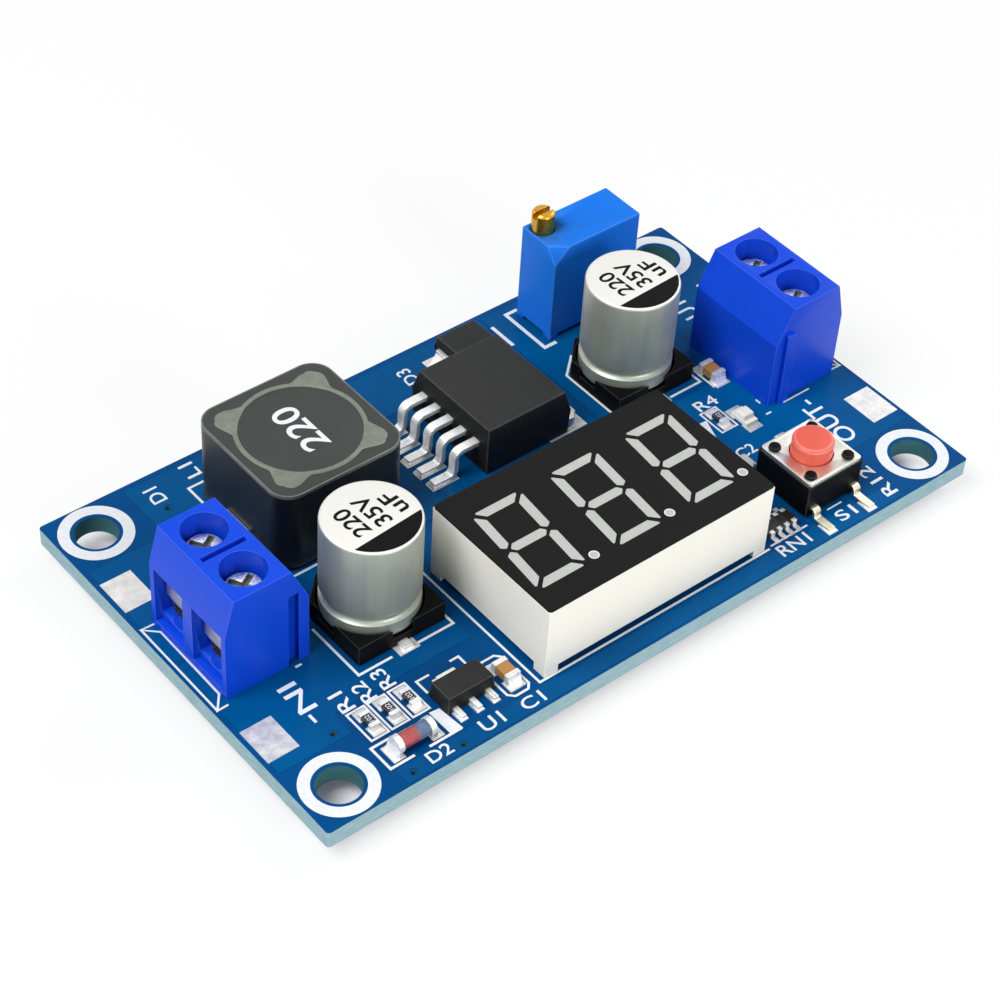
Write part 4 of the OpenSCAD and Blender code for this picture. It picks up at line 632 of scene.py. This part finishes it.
# thin raised print: flat shapes gathered in one mesh, then given a thickness
class Print:
    def __init__(self):
        self.bm = bmesh.new()
        self.lift = 0.0

    # each shape lies a hair above the one before, so that crossing lines don't share a plane
    def raiseShape(self, verts):
        bmesh.ops.translate(self.bm, verts=verts, vec=(0, 0, self.lift))
        self.lift += printShape["rise"] * mm

    # line through the points with mitred corners, closed where it ends at its start
    def path(self, points, width):
        spots = [Vector((x, y, 0)) * mm for x, y in points]
        closed = points[0] == points[-1]
        if closed:
            spots.pop()
        rails = []
        for i, spot in enumerate(spots):
            steps = []
            if closed or i > 0:
                steps.append((spot - spots[i - 1]).normalized())
            if closed or i < len(spots) - 1:
                steps.append((spots[(i + 1) % len(spots)] - spot).normalized())
            lean = sum((Vector((-step.y, step.x, 0)) for step in steps), Vector()) / len(steps)
            side = lean / max(lean.length_squared, printShape["mitre"]) * width / 2 * mm
            if len(steps) == 1:
                spot = spot + steps[0] * (width / 2 * mm if i else -width / 2 * mm)
            rails.append([self.bm.verts.new(spot + side), self.bm.verts.new(spot - side)])
        for a, b in zip(rails, rails[1:] + rails[:1] if closed else rails[1:]):
            self.bm.faces.new((a[0], a[1], b[1], b[0]))
        self.raiseShape([v for rail in rails for v in rail])

    # flat area with round openings (x, y, radius)
    def area(self, points, openings=()):
        verts = [self.bm.verts.new((x * mm, y * mm, 0)) for x, y in points]
        rim = [self.bm.edges.new(pair) for pair in zip(verts, verts[1:] + verts[:1])]
        for x, y, radius in openings:
            made = bmesh.ops.create_circle(self.bm, segments=printShape["openingSteps"], radius=radius * mm,
                                           matrix=flatSpot(x, y))
            verts += made["verts"]
            rim += list({e for v in made["verts"] for e in v.link_edges})
        bmesh.ops.triangle_fill(self.bm, edges=rim, use_beauty=True, use_dissolve=True, normal=(0, 0, 1))
        self.raiseShape(verts)

    def ring(self, centre, inner, outer):
        loops, verts = [], []
        for radius in (inner, outer):
            made = bmesh.ops.create_circle(self.bm, segments=printShape["ringSteps"], radius=radius * mm,
                                           matrix=flatSpot(*centre))
            verts += made["verts"]
            loops += list({e for v in made["verts"] for e in v.link_edges})
        bmesh.ops.bridge_loops(self.bm, edges=loops)
        self.raiseShape(verts)

    # words set to a given length and height about their middle, turned by degrees
    def words(self, text, centre, length, height, turn, weight=0.0):
        curve = bpy.data.curves.new("lettering", "FONT")
        curve.body = text
        curve.offset = weight
        holder = bpy.data.objects.new("lettering", curve)
        scene.collection.objects.link(holder)
        graph = bpy.context.evaluated_depsgraph_get()
        mesh = bpy.data.meshes.new_from_object(holder.evaluated_get(graph))
        known = set(self.bm.verts)
        self.bm.from_mesh(mesh)
        fresh = [v for v in self.bm.verts if v not in known]
        xs, ys = [v.co.x for v in fresh], [v.co.y for v in fresh]
        middle = Vector(((min(xs) + max(xs)) / 2, (min(ys) + max(ys)) / 2, 0))
        fit = Matrix.Diagonal((length * mm / (max(xs) - min(xs)), height * mm / (max(ys) - min(ys)), 1, 1))
        spot = flatSpot(*centre) @ Matrix.Rotation(math.radians(turn), 4, "Z")
        bmesh.ops.transform(self.bm, matrix=spot @ fit @ Matrix.Translation(-middle), verts=fresh)
        self.raiseShape(fresh)
        bpy.data.objects.remove(holder)
        bpy.data.curves.remove(curve)
        bpy.data.meshes.remove(mesh)

    def lay(self, name, z, thick, look):
        bmesh.ops.translate(self.bm, verts=self.bm.verts, vec=(0, 0, z * mm))
        self.bm.normal_update()
        thicken(self.bm, self.bm.faces[:], thick * mm)
        settle(self.bm, name, look, "module")


canPrint = {
    "chord": 1.85, "radius": 3.78, "steps": 24, "thick": 0.012, "height": 1.45, "weight": 0.016,
    # text, length, middle from the can's middle before the print is turned
    "lines": (("220", 3.15, (-1.6, 0.42)), ("35V", 3.45, (0.35, 0.42)), ("uF", 2.3, (2.2, 0.0))),
    # turn of each can in degrees
    "turns": {"input_capacitor_can": 4.3, "output_capacitor_can": 2.6},
}


# polarity segment and rating on a can's top: the words read along +Y, lines following each other towards +X
def printCan(node):
    ink = Print()
    low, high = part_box(node)
    centre = (low + high) / 2 / mm
    radius, steps = canPrint["radius"], canPrint["steps"]
    reach = math.acos(canPrint["chord"] / radius)
    arc = [-math.pi / 2 - reach + 2 * reach * step / steps for step in range(steps + 1)]
    ink.area([(radius * math.cos(a), radius * math.sin(a)) for a in arc])
    for text, length, middle in canPrint["lines"]:
        ink.words(text, middle, length, canPrint["height"], 90, canPrint["weight"])
    spot = flatSpot(centre.x, centre.y) @ Matrix.Rotation(math.radians(canPrint["turns"][node]), 4, "Z")
    bmesh.ops.transform(ink.bm, matrix=spot, verts=ink.bm.verts)
    ink.lay(node.replace("can", "rating"), high.z / mm, canPrint["thick"], looks["blackInk"])


for node in canPrint["turns"]:
    turnCan(node)
    printCan(node)
print("capacitor cans turned and printed")


digitShape = {
    "pitch": 7.67, "shift": (-0.17, -0.17), "lean": 5.3, "rim": 0.11, "sunk": 0.015, "faceCorner": 0.3,
    # rounding of a stroke's corners, and the share of shrinking that it loses
    "rounding": 0.13, "tighter": 0.7,
    # strokes of one digit before it leans: the middle one, the top one and the upper left one
    "bar": ((-1.76, 0), (-1.38, -0.42), (1.38, -0.42), (1.76, 0), (1.38, 0.42), (-1.38, 0.42)),
    "cap": ((-2.15, 4.6), (-1.33, 3.77), (1.33, 3.77), (2.15, 4.6)),
    "post": ((-2.42, 4.33), (-2.42, 0.5), (-2.0, 0.2), (-1.58, 0.56), (-1.58, 3.5)),
    # middle and radius of the decimal point
    "point": ((2.92, -4.17), 0.44),
    "cornerSteps": 3, "pointSteps": 24, "faceSteps": 4,
}


# flat strokes of the three digits, drawn smaller by shrink all round and with rounded corners
def drawDigits(bm, z, shrink=0.0):
    low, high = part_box("display_face")
    lean = math.tan(math.radians(digitShape["lean"]))
    shapes = [(digitShape["bar"], 1, 1)] + [(digitShape["cap"], 1, up) for up in (1, -1)]
    shapes += [(digitShape["post"], side, up) for side in (1, -1) for up in (1, -1)]
    centre = (low + high) / 2 + Vector(digitShape["shift"]).to_3d() * mm
    spots = [Vector((centre.x + place * digitShape["pitch"] * mm, centre.y, z)) for place in (-1, 0, 1)]
    known = set(bm.faces)
    for spot in spots:
        for outline, side, up in shapes:
            points = [Vector((x * side + y * up * lean, y * up, 0)) * mm for x, y in outline]
            bm.faces.new([bm.verts.new(spot + point) for point in points])
    fresh = [f for f in bm.faces if f not in known]
    if shrink:
        rims = bmesh.ops.inset_individual(bm, faces=fresh, thickness=shrink * mm, use_even_offset=True)
        bmesh.ops.delete(bm, geom=rims["faces"], context="FACES")
    radius = (digitShape["rounding"] - shrink * digitShape["tighter"]) * mm
    for vert in [v for f in fresh for v in f.verts]:
        offset = radius / math.tan(vert.link_loops[0].calc_angle() / 2)
        bmesh.ops.bevel(bm, geom=[vert], offset=offset, segments=digitShape["cornerSteps"], profile=0.5,
                        affect="VERTICES", material=-1)
    (x, y), radius = digitShape["point"]
    for spot in spots:
        bmesh.ops.create_circle(bm, cap_ends=True, segments=digitShape["pointSteps"],
                                radius=(radius - shrink) * mm,
                                matrix=Matrix.Translation(spot + Vector((x, y, 0)) * mm))
    return [f for f in bm.faces if f not in known]


# black printed face with a window for each stroke, and the pale walls and milky resin that fill the windows
def castDisplay():
    low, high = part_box("display_face")
    face = bmesh.new()
    bmesh.ops.delete(face, geom=drawDigits(face, high.z), context="FACES_ONLY")
    outline = ((low.x, low.y), (high.x, low.y), (high.x, high.y), (low.x, high.y))
    corners = [face.verts.new((x, y, high.z)) for x, y in outline]
    face.faces.new(corners)
    bmesh.ops.bevel(face, geom=corners, offset=digitShape["faceCorner"] * mm, profile=0.5,
                    segments=digitShape["faceSteps"], affect="VERTICES", material=-1)
    bmesh.ops.delete(face, geom=face.faces[:], context="FACES_ONLY")
    bmesh.ops.triangle_fill(face, edges=face.edges[:], use_beauty=True, normal=(0, 0, 1))
    thicken(face, face.faces[:], low.z - high.z)
    settle(face, "display_face.printed", looks["display_face"], "module",
           ("display_face",))
    strokes = bmesh.new()
    sunk = digitShape["sunk"] * mm
    thicken(strokes, drawDigits(strokes, high.z - sunk), low.z - high.z + sunk)
    mark = strokes.loops.layers.float.new("rim")
    for loop in [loop for wall in strokes.faces for loop in wall.loops]:
        loop[mark] = 1.0
    thicken(strokes, drawDigits(strokes, high.z - sunk / 2, digitShape["rim"]), (low.z - high.z) / 2)
    bmesh.ops.triangulate(strokes, faces=[f for f in strokes.faces if len(f.verts) > 4])
    settle(strokes, "display_segments.cast", looks["display_segments"], "module",
           ("display_segments",))


castDisplay()
print("display face and strokes cast")


resinBead = {
    "inner": 4.92, "outer": 5.35, "reach": 1.5, "spread": 0.34, "rise": 0.09, "sink": 0.5, "steps": 192,
    # steepness of a lobe's flanks
    "flank": 1.2,
    # height of the lumps, their share between the lobes, and how many there are to a metre
    "lumps": 0.05, "lumpLeast": 0.4, "lumpScale": 1400,
    # share of the way out, share of the rise
    "crown": ((0.0, -0.3), (0.1, 0.55), (0.3, 1.0), (0.55, 0.95), (0.8, 0.6), (0.95, 0.15), (1.0, -0.3)),
}


# resin set round the drum: a low bead that spreads into the shield's four corners
def pourResin():
    low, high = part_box("inductor_drum")
    centre = (low + high) / 2
    inner, outer = resinBead["inner"] * mm, resinBead["outer"] * mm
    crown = [(inner + (outer - inner) * out, resinBead["rise"] * up * mm) for out, up in resinBead["crown"]]
    sink = resinBead["sink"] * mm
    bm = spun([(inner, -sink)] + crown + [(outer, -sink)], resinBead["steps"], True)
    for vert in bm.verts:
        radius = vert.co.xy.length
        out = (radius - inner) / (outer - inner)
        corner = (math.atan2(vert.co.y, vert.co.x) % (math.pi / 2)) - math.pi / 4
        lobe = min(max(1 - abs(corner) / resinBead["spread"], 0) * resinBead["flank"], 1)
        lobe = lobe * lobe * (3 - 2 * lobe)
        grown = radius + lobe * out * resinBead["reach"] * mm
        vert.co.x *= grown / radius
        vert.co.y *= grown / radius
        if vert.co.z > 0:
            lump = noise.noise(vert.co * resinBead["lumpScale"]) * resinBead["lumps"] * mm
            vert.co.z += lump * (resinBead["lumpLeast"] + lobe)
    bmesh.ops.recalc_face_normals(bm, faces=bm.faces)
    bmesh.ops.translate(bm, verts=bm.verts, vec=(centre.x, centre.y, high.z))
    settle(bm, "inductor_adhesive.set", looks["inductor_adhesive"], "module",
           ("inductor_adhesive",), sharp=50)


pourResin()

# value on the inductor's drum
drumPrint = {"text": "220", "length": 5.4, "height": 2.3, "shift": -0.1, "weight": 0.012, "thick": 0.012}
drumLow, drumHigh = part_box("inductor_drum")
drumMiddle = (drumLow + drumHigh) / 2 / mm
drumInk = Print()
drumInk.words(drumPrint["text"], (drumMiddle.x + drumPrint["shift"], drumMiddle.y), drumPrint["length"],
              drumPrint["height"], 90, drumPrint["weight"])
drumInk.lay("inductor_value", drumHigh.z / mm, drumPrint["thick"], looks["ink"])
print("resin set and inductor printed")


# closed outline of a box
def boxLine(left, top, right, bottom):
    return (left, top), (right, top), (right, bottom), (left, bottom), (left, top)


boardPrint = {
    "thick": 0.022, "lift": 0.032, "weight": 0.008, "ring": (2.1, 3.05),
    "holes": ((-29.65, -16.0), (-29.65, 16.0), (29.65, -16.0), (29.65, 16.0)),
    # text, middle, length, height, turn
    "words": (
        ("IN-", (-27.2, -8.1), 4.3, 1.6, -90), ("IN+", (-27.2, 8.7), 4.3, 1.6, -90),
        ("OUT-", (26.8, -8.8), 5.9, 1.75, 90), ("OUT+", (26.8, 8.9), 5.9, 1.75, 90),
        ("R1", (-24.8, -9.8), 2.0, 1.25, 90), ("R2", (-22.9, -9.95), 2.0, 1.25, 90),
        ("R3", (-20.95, -9.75), 2.0, 1.25, 90), ("D2", (-22.0, -18.0), 2.1, 1.1, 0),
        ("U1", (-17.0, -17.95), 2.0, 1.2, 0), ("C1", (-13.25, -18.15), 2.0, 1.15, 0),
        ("RN1", (14.2, -17.85), 3.2, 1.2, 0), ("S1", (20.15, -17.75), 1.9, 1.15, 0),
        ("R12", (24.9, -16.6), 3.7, 1.3, 90), ("L1", (-19.7, 17.6), 1.7, 1.3, 90),
        ("D1", (-23.6, 16.8), 1.8, 1.3, 90), ("R4", (19.9, -1.15), 2.2, 1.2, 0),
        ("D3", (1.6, 16.3), 2.0, 1.3, 90), ("C2", (18.6, -7.5), 1.9, 1.15, 0),
    ),
    # outlines about the parts, closed or open, with their own line widths
    "lines": (
        (((-31.55, 5.1), (-32.65, 5.15), (-31.55, 4.1), (-31.6, -3.7), (-32.65, -5.0), (-31.75, -4.98)),
         0.18),
        (((-32.65, 5.15), (-32.65, -5.0)), 0.18),
        (((31.6, -4.3), (32.65, -4.35), (31.6, -3.3), (31.65, 4.5), (32.65, 5.8), (31.8, 5.78)), 0.18),
        (((32.65, -4.35), (32.65, 5.8)), 0.18),
        (((25.4, -4.95), (28.3, -4.95)), 0.14), (((-25.4, -4.9), (-25.0, -4.9)), 0.18),
        (((-25.4, 5.65), (-28.0, 5.65)), 0.14),
        (boxLine(-21.0, 15.9, -8.2, 2.9), 0.22),
        (((-22.15, -2.6), (-22.15, -8.4), (-19.1, -8.4)), 0.22),
        (((-16.5, -8.4), (-13.1, -8.4), (-13.1, -2.6)), 0.22),
        (((12.65, 2.4), (12.65, 8.5), (14.6, 10.2)), 0.22), (((12.65, 2.4), (12.65, 1.2), (15.6, 1.2)), 0.22),
        (((18.1, 1.2), (21.4, 1.2), (21.4, 8.5), (19.4, 10.2)), 0.22),
        (((-11.65, -2.4), (-11.65, -17.08), (12.15, -17.08)), 0.2),
        (((-18.0, -11.5), (-19.1, -11.5), (-19.1, -12.8)), 0.2),
        (((-15.7, -11.35), (-14.95, -11.35), (-14.95, -12.15)), 0.2),
        (((-13.95, -12.9), (-12.75, -12.9), (-12.35, -13.3), (-12.35, -16.6), (-12.75, -17.05),
          (-14.0, -17.05), (-14.45, -16.6), (-14.45, -13.3), (-13.95, -12.9)), 0.2),
        (((-23.7, -17.1), (-25.8, -17.1), (-25.8, -14.7), (-23.5, -14.7)), 0.22),
        (((-22.1, -17.1), (-19.3, -17.1)), 0.22),
        (((13.5, 17.75), (13.5, 12.4), (14.6, 12.4)), 0.34), (((13.5, 17.75), (14.6, 17.75)), 0.34),
        (((11.46, 17.0), (11.46, 14.4)), 0.34),
        (((19.2, -16.6), (20.7, -16.6)), 0.14), (((12.6, -16.9), (16.5, -16.9)), 0.16),
        (boxLine(-25.3, -11.05, -23.7, -14.15), 0.18), (boxLine(-23.4, -11.05, -21.8, -14.15), 0.18),
        (boxLine(-21.45, -11.05, -19.9, -14.15), 0.18), (boxLine(18.55, -1.95, 20.25, -4.7), 0.16),
        (((21.9, 0.0), (21.9, 2.5), (23.6, 2.5)), 0.16), (((23.67, -3.4), (23.67, -3.8)), 0.16),
        (((23.2, -5.2), (23.6, -5.2)), 0.16),
    ),
    # solid marks
    "patches": (
        ((-20.25, -14.5), (-19.35, -14.6), (-19.1, -17.15), (-20.2, -17.15)),
        ((17.65, -2.75), (18.45, -2.8), (17.75, -4.8)),
    ),
}
ink = Print()
for hole in boardPrint["holes"]:
    ink.ring(hole, *boardPrint["ring"])
for text, middle, length, height, turn in boardPrint["words"]:
    ink.words(text, middle, length, height, turn, boardPrint["weight"])
for points, width in boardPrint["lines"]:
    ink.path(list(points), width)
for points in boardPrint["patches"]:
    ink.area(points)
ink.lay("board_print", boardTop / mm + boardPrint["lift"], boardPrint["thick"], looks["ink"])
print("board print laid")


# copper areas standing faintly proud under the mask, open round the vias
copperPours = {
    "rise": 0.03, "opening": 0.36,
    "vias": ((-27.1, -11.85), (-24.6, -18.3), (-20.0, -18.4), (-23.5, 15.05)),
    "areas": (
        ((-32.5, 0.9), (-32.5, 12.6), (-26.2, 12.6), (-25.4, 13.4), (-25.4, 18.6), (-15.2, 18.6),
         (-15.2, 0.9)),
        ((-32.5, -12.6), (-32.5, 0.45), (-19.6, 0.45), (-19.6, -4.6), (-12.9, -4.6), (-12.9, -10.3),
         (-25.9, -10.3), (-26.0, -12.6)),
        ((-14.7, 18.6), (10.9, 18.6), (10.9, 13.3), (-5.2, 13.3), (-5.2, 1.6), (-14.7, 1.6)),
        ((11.4, 18.6), (25.4, 18.6), (25.4, 13.4), (26.2, 12.6), (32.5, 12.6), (32.5, 0.9), (11.4, 0.9)),
        ((32.5, 0.45), (32.5, -12.6), (26.2, -12.6), (25.4, -13.4), (25.4, -9.2), (15.6, -9.2), (15.6, 0.45)),
        ((-25.6, -17.4), (-25.6, -19.0), (25.4, -19.0), (25.4, -17.4)),
        ((-4.7, 12.8), (10.9, 12.8), (10.9, -2.0), (15.1, -2.0), (15.1, -10.5), (-11.0, -10.5), (-11.0, 1.1),
         (-4.7, 1.1)),
    ),
}


# whether a point lies inside an outline
def inside(spot, outline):
    crossings = 0
    for (ax, ay), (bx, by) in zip(outline, outline[1:] + outline[:1]):
        if (ay > spot[1]) != (by > spot[1]):
            crossings += spot[0] < ax + (spot[1] - ay) / (by - ay) * (bx - ax)
    return crossings % 2 == 1


pour = Print()
for outline in copperPours["areas"]:
    vias = [via for via in copperPours["vias"] if inside(via, outline)]
    pour.area(outline, [(x, y, copperPours["opening"]) for x, y in vias])
pour.lay("copper_pours", boardTop / mm, copperPours["rise"], looks["pour"])


solderShape = {
    # shares of a fillet's reach where it bends, its narrowing, and the height left at its toe
    "bends": (0.3, 0.65), "narrowing": 0.16, "toe": 0.06, "moundEdge": 0.05,
}


# solder run up from a land to a foot or an end cap: a wedge with a hollow face
def addFillet(bm, foot, outward, width, reach, height):
    verts = bmesh.ops.create_cube(bm, size=1)["verts"]
    bmesh.ops.translate(bm, verts=verts, vec=(0.5, 0, 0.5))
    bmesh.ops.scale(bm, verts=verts, vec=(reach * mm, width * mm, height * mm))
    faces = list({f for v in verts for f in v.link_faces})
    edges = list({e for v in verts for e in v.link_edges})
    geom = verts + edges + faces
    for share in solderShape["bends"]:
        cut = bmesh.ops.bisect_plane(bm, geom=geom, plane_co=(share * reach * mm, 0, 0), plane_no=(1, 0, 0))
        geom = [g for g in set(geom) | set(cut["geom"]) if g.is_valid]
    verts = [g for g in geom if isinstance(g, bmesh.types.BMVert)]
    for v in verts:
        share = v.co.x / (reach * mm)
        if v.co.z > height * mm / 2:
            v.co.z = height * mm * max((1 - share) ** 2, solderShape["toe"])
        v.co.y *= 1 - solderShape["narrowing"] * share
    turn = math.atan2(outward[1], outward[0])
    bmesh.ops.transform(bm, matrix=Matrix.Translation(foot) @ Matrix.Rotation(turn, 4, "Z"), verts=verts)


# low mound of solder that wets the sides of a foot
def addMound(bm, low, high, margin, rise):
    middle, size = (low + high) / 2, high - low
    middle.z = landTop + rise * mm / 2
    wide = (size.x + 2 * margin * mm, size.y + 2 * margin * mm)
    spot = Matrix.Translation(middle) @ Matrix.Diagonal((*wide, rise * mm, 1))
    verts = bmesh.ops.create_cube(bm, size=1, matrix=spot)["verts"]
    for vert in verts:
        if vert.co.z > middle.z:
            vert.co.x = middle.x + (vert.co.x - middle.x) * size.x / wide[0]
            vert.co.y = middle.y + (vert.co.y - middle.y) * size.y / wide[1]
    edges = list({e for v in verts for e in v.link_edges})
    bmesh.ops.bevel(bm, geom=edges, offset=solderShape["moundEdge"] * mm, segments=2, profile=0.5,
                    affect="EDGES", material=-1)


# corners of each separate solid in a node, as boxes
def solidBoxes(node):
    bm = bmesh.new()
    bm.from_mesh(nodes[node].data)
    bmesh.ops.remove_doubles(bm, verts=bm.verts, dist=cadWeld)
    left, boxes = set(bm.verts), []
    while left:
        group, front = [], [left.pop()]
        while front:
            vert = front.pop()
            group.append(vert.co.copy())
            for edge in vert.link_edges:
                other = edge.other_vert(vert)
                if other in left:
                    left.discard(other)
                    front.append(other)
        boxes.append([Vector([pick(spot[i] for spot in group) for i in range(3)]) for pick in (min, max)])
    bm.free()
    return boxes


solderJoints = {
    # node, axis of the part, reach of the solder, share of the end's height that it climbs
    "ends": (("chip_resistor_ends", 1, 0.34, 0.75), ("ceramic_capacitor_ends", 1, 0.45, 0.6),
             ("zener_caps", 0, 0.5, 0.4), ("inductor_terminals", 0, 0.35, 0.5),
             ("diode_terminals", 0, 1.0, 0.7)),
    # how far out of line the two ends of a part may be
    "inLine": 0.3,
    # node, node of the body, axis of the leads, length of a foot, margin, rise
    "feet": (("converter_leads", "converter_body", 0, 1.5, 0.2, 0.3),
             ("regulator_leads", "regulator_body", 1, 0.6, 0.14, 0.2),
             ("switch_legs", "switch_base", 1, 0.8, 0.12, 0.16),
             ("input_capacitor_leads", "input_capacitor_base", 1, 0.7, 0.16, 0.14),
             ("output_capacitor_leads", "output_capacitor_base", 1, 0.7, 0.16, 0.14)),
}
joints = bmesh.new()
for node, axis, reach, climb in solderJoints["ends"]:
    boxes = solidBoxes(node)
    middles = [(low + high) / 2 for low, high in boxes]
    for (low, high), middle in zip(boxes, middles):
        mates = [other for other in middles if other is not middle
                 and abs((other - middle)[1 - axis]) < solderJoints["inLine"] * mm]
        mate = min(mates, key=lambda other: (other - middle).length)
        away = math.copysign(1, middle[axis] - mate[axis])
        foot = Vector((middle.x, middle.y, landTop))
        foot[axis] = high[axis] if away > 0 else low[axis]
        outward = (away, 0) if axis == 0 else (0, away)
        addFillet(joints, foot, outward, (high - low)[1 - axis] / mm, reach, (high.z - low.z) / mm * climb)
for node, carrier, axis, length, margin, rise in solderJoints["feet"]:
    boxes = solidBoxes(node)
    narrow = min((high - low)[1 - axis] for low, high in boxes)
    middle = sum(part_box(carrier), Vector()) / 2
    for low, high in boxes:
        spare = (high - low)[1 - axis] - narrow
        low[1 - axis] += spare / 2
        high[1 - axis] -= spare / 2
        if high[axis] - middle[axis] > middle[axis] - low[axis]:
            low[axis] = high[axis] - length * mm
        else:
            high[axis] = low[axis] + length * mm
        addMound(joints, low, high, margin, rise)
settle(joints, "solder_joints", tin, "module", sharp=35)

# value printed on each chip resistor
chipPrint = {"text": "102", "length": 0.72, "height": 0.42, "thick": 0.008}
chipInk = Print()
chips = solidBoxes("chip_resistor_bodies")
for low, high in chips:
    middle = (low + high) / 2 / mm
    chipInk.words(chipPrint["text"], middle.xy, chipPrint["length"], chipPrint["height"], 90)
chipTop = max(high.z for low, high in chips) / mm
chipInk.lay("chip_values", chipTop, chipPrint["thick"], looks["ink"])
print("pours, solder and chip values laid")


# nodes that keep their own shape take their finish here
shown = [node for node in nodes if not nodes[node].hide_render]
for node in shown:
    nodes[node].data.materials.clear()
    nodes[node].data.materials.append(lookOf(node))
print("finishes on", len(shown), "plain nodes")


# 1 for what the eye sees, directly or in metal and glass, and 0 for the light that falls on the object
def seenByEye(tree):
    path = tree.nodes.new("ShaderNodeLightPath")
    rays = [Wire(tree, path.outputs[f"Is {kind} Ray"]) for kind in ("Camera", "Glossy", "Transmission")]
    return (rays[0] + rays[1] + rays[2]).maths("MINIMUM", 1.0)


floorTone = {
    "colour": (0.86, 0.86, 0.86, 1), "reach": 3,
    # share of the floor that is plain white to the eye, what it loses under the board as a painted shadow,
    # and that shadow's edge
    "paper": 0.72, "shade": 0.66, "soft": 2.5,
    # distances between which the floor turns to plain white
    "fade": (55, 260),
}


# pale floor: paper white to the eye, still carrying the shadow, and with a painted shadow under the board
def layFloor():
    bm = bmesh.new()
    bmesh.ops.create_grid(bm, x_segments=1, y_segments=1, size=floorTone["reach"])
    mesh = bpy.data.meshes.new("studioFloor")
    bm.to_mesh(mesh)
    bm.free()
    floor = bpy.data.objects.new("studioFloor", mesh)
    scene.collection.objects.link(floor)
    look = bpy.data.materials.new("studioPaper")
    look.use_nodes = True
    look.node_tree.nodes.clear()
    seen = seenByEye(look.node_tree)
    place = seen.node("TexCoord", out="Object")
    # the white is cut under the board's outline: a painted shadow
    under = 1.0
    for axis, name in enumerate("XY"):
        under = under * (boardHalf[axis] - abs(place.axis(name))).ramp(0.0, floorTone["soft"] * mm)
    distance = place.node("VectorMath", {"operation": "LENGTH"}, {0: place}, "Value")
    far = distance.ramp(*(d * mm for d in floorTone["fade"]))
    share = floorTone["paper"] + far * (1 - floorTone["paper"]) - under * floorTone["shade"]
    paper = seen.node("BsdfDiffuse", None, {"Color": floorTone["colour"]})
    white = seen.node("Emission", None, {"Color": (1, 1, 1, 1), "Strength": 1.0})
    mixed = seen.node("MixShader", None, {0: seen * share, 1: paper, 2: white})
    seen.node("OutputMaterial", None, {"Surface": mixed})
    mesh.materials.append(look)


layFloor()
studio = {
    "ambient": 0.22,
    # place, aim, size, power
    "key": ((0.02, -0.52, 0.21), (0, 0, 0.004), 0.24, 1.4),
    "left": ((-0.32, 0.04, 0.5), (0, 0, 0.004), 0.3, 3.0),
    "right": ((0.42, 0.02, 0.3), (0, 0, 0.004), 0.3, 0.8),
}


def hangLamp(name, spot, aim, size, power):
    lamp = bpy.data.lights.new(name, "AREA")
    lamp.size = size
    lamp.energy = power
    holder = bpy.data.objects.new(name, lamp)
    holder.location = spot
    holder.rotation_euler = (Vector(aim) - Vector(spot)).to_track_quat("-Z", "Y").to_euler()
    scene.collection.objects.link(holder)


for name in ("key", "left", "right"):
    hangLamp(name + "Lamp", *studio[name])

world = bpy.data.worlds.new("studioWorld")
scene.world = world
world.use_nodes = True
world.node_tree.nodes.clear()
seen = seenByEye(world.node_tree)
strength = studio["ambient"] + seen * (1 - studio["ambient"])
sky = seen.node("Background", None, {"Color": (1, 1, 1, 1), "Strength": strength})
seen.node("OutputWorld", None, {"Surface": sky})

photoView = {
    "lens": 92.99, "sensor": 36, "near": 0.01, "place": (-0.101992, -0.111819, 0.147737),
    # turns in degrees about the axes named, from the outermost
    "turns": ((-41.914, "Z"), (46.130, "X"), (3.940, "Z")),
}
camera = bpy.data.cameras.new("photoCamera")
camera.lens = photoView["lens"]
camera.sensor_width = photoView["sensor"]
camera.clip_start = photoView["near"]
viewer = bpy.data.objects.new("photoCamera", camera)
aim = Matrix.Translation(photoView["place"])
for angle, axis in photoView["turns"]:
    aim = aim @ Matrix.Rotation(math.radians(angle), 4, axis)
viewer.matrix_world = aim
scene.collection.objects.link(viewer)
scene.camera = viewer
scene.view_settings.view_transform = "Standard"
print("studio and camera set")
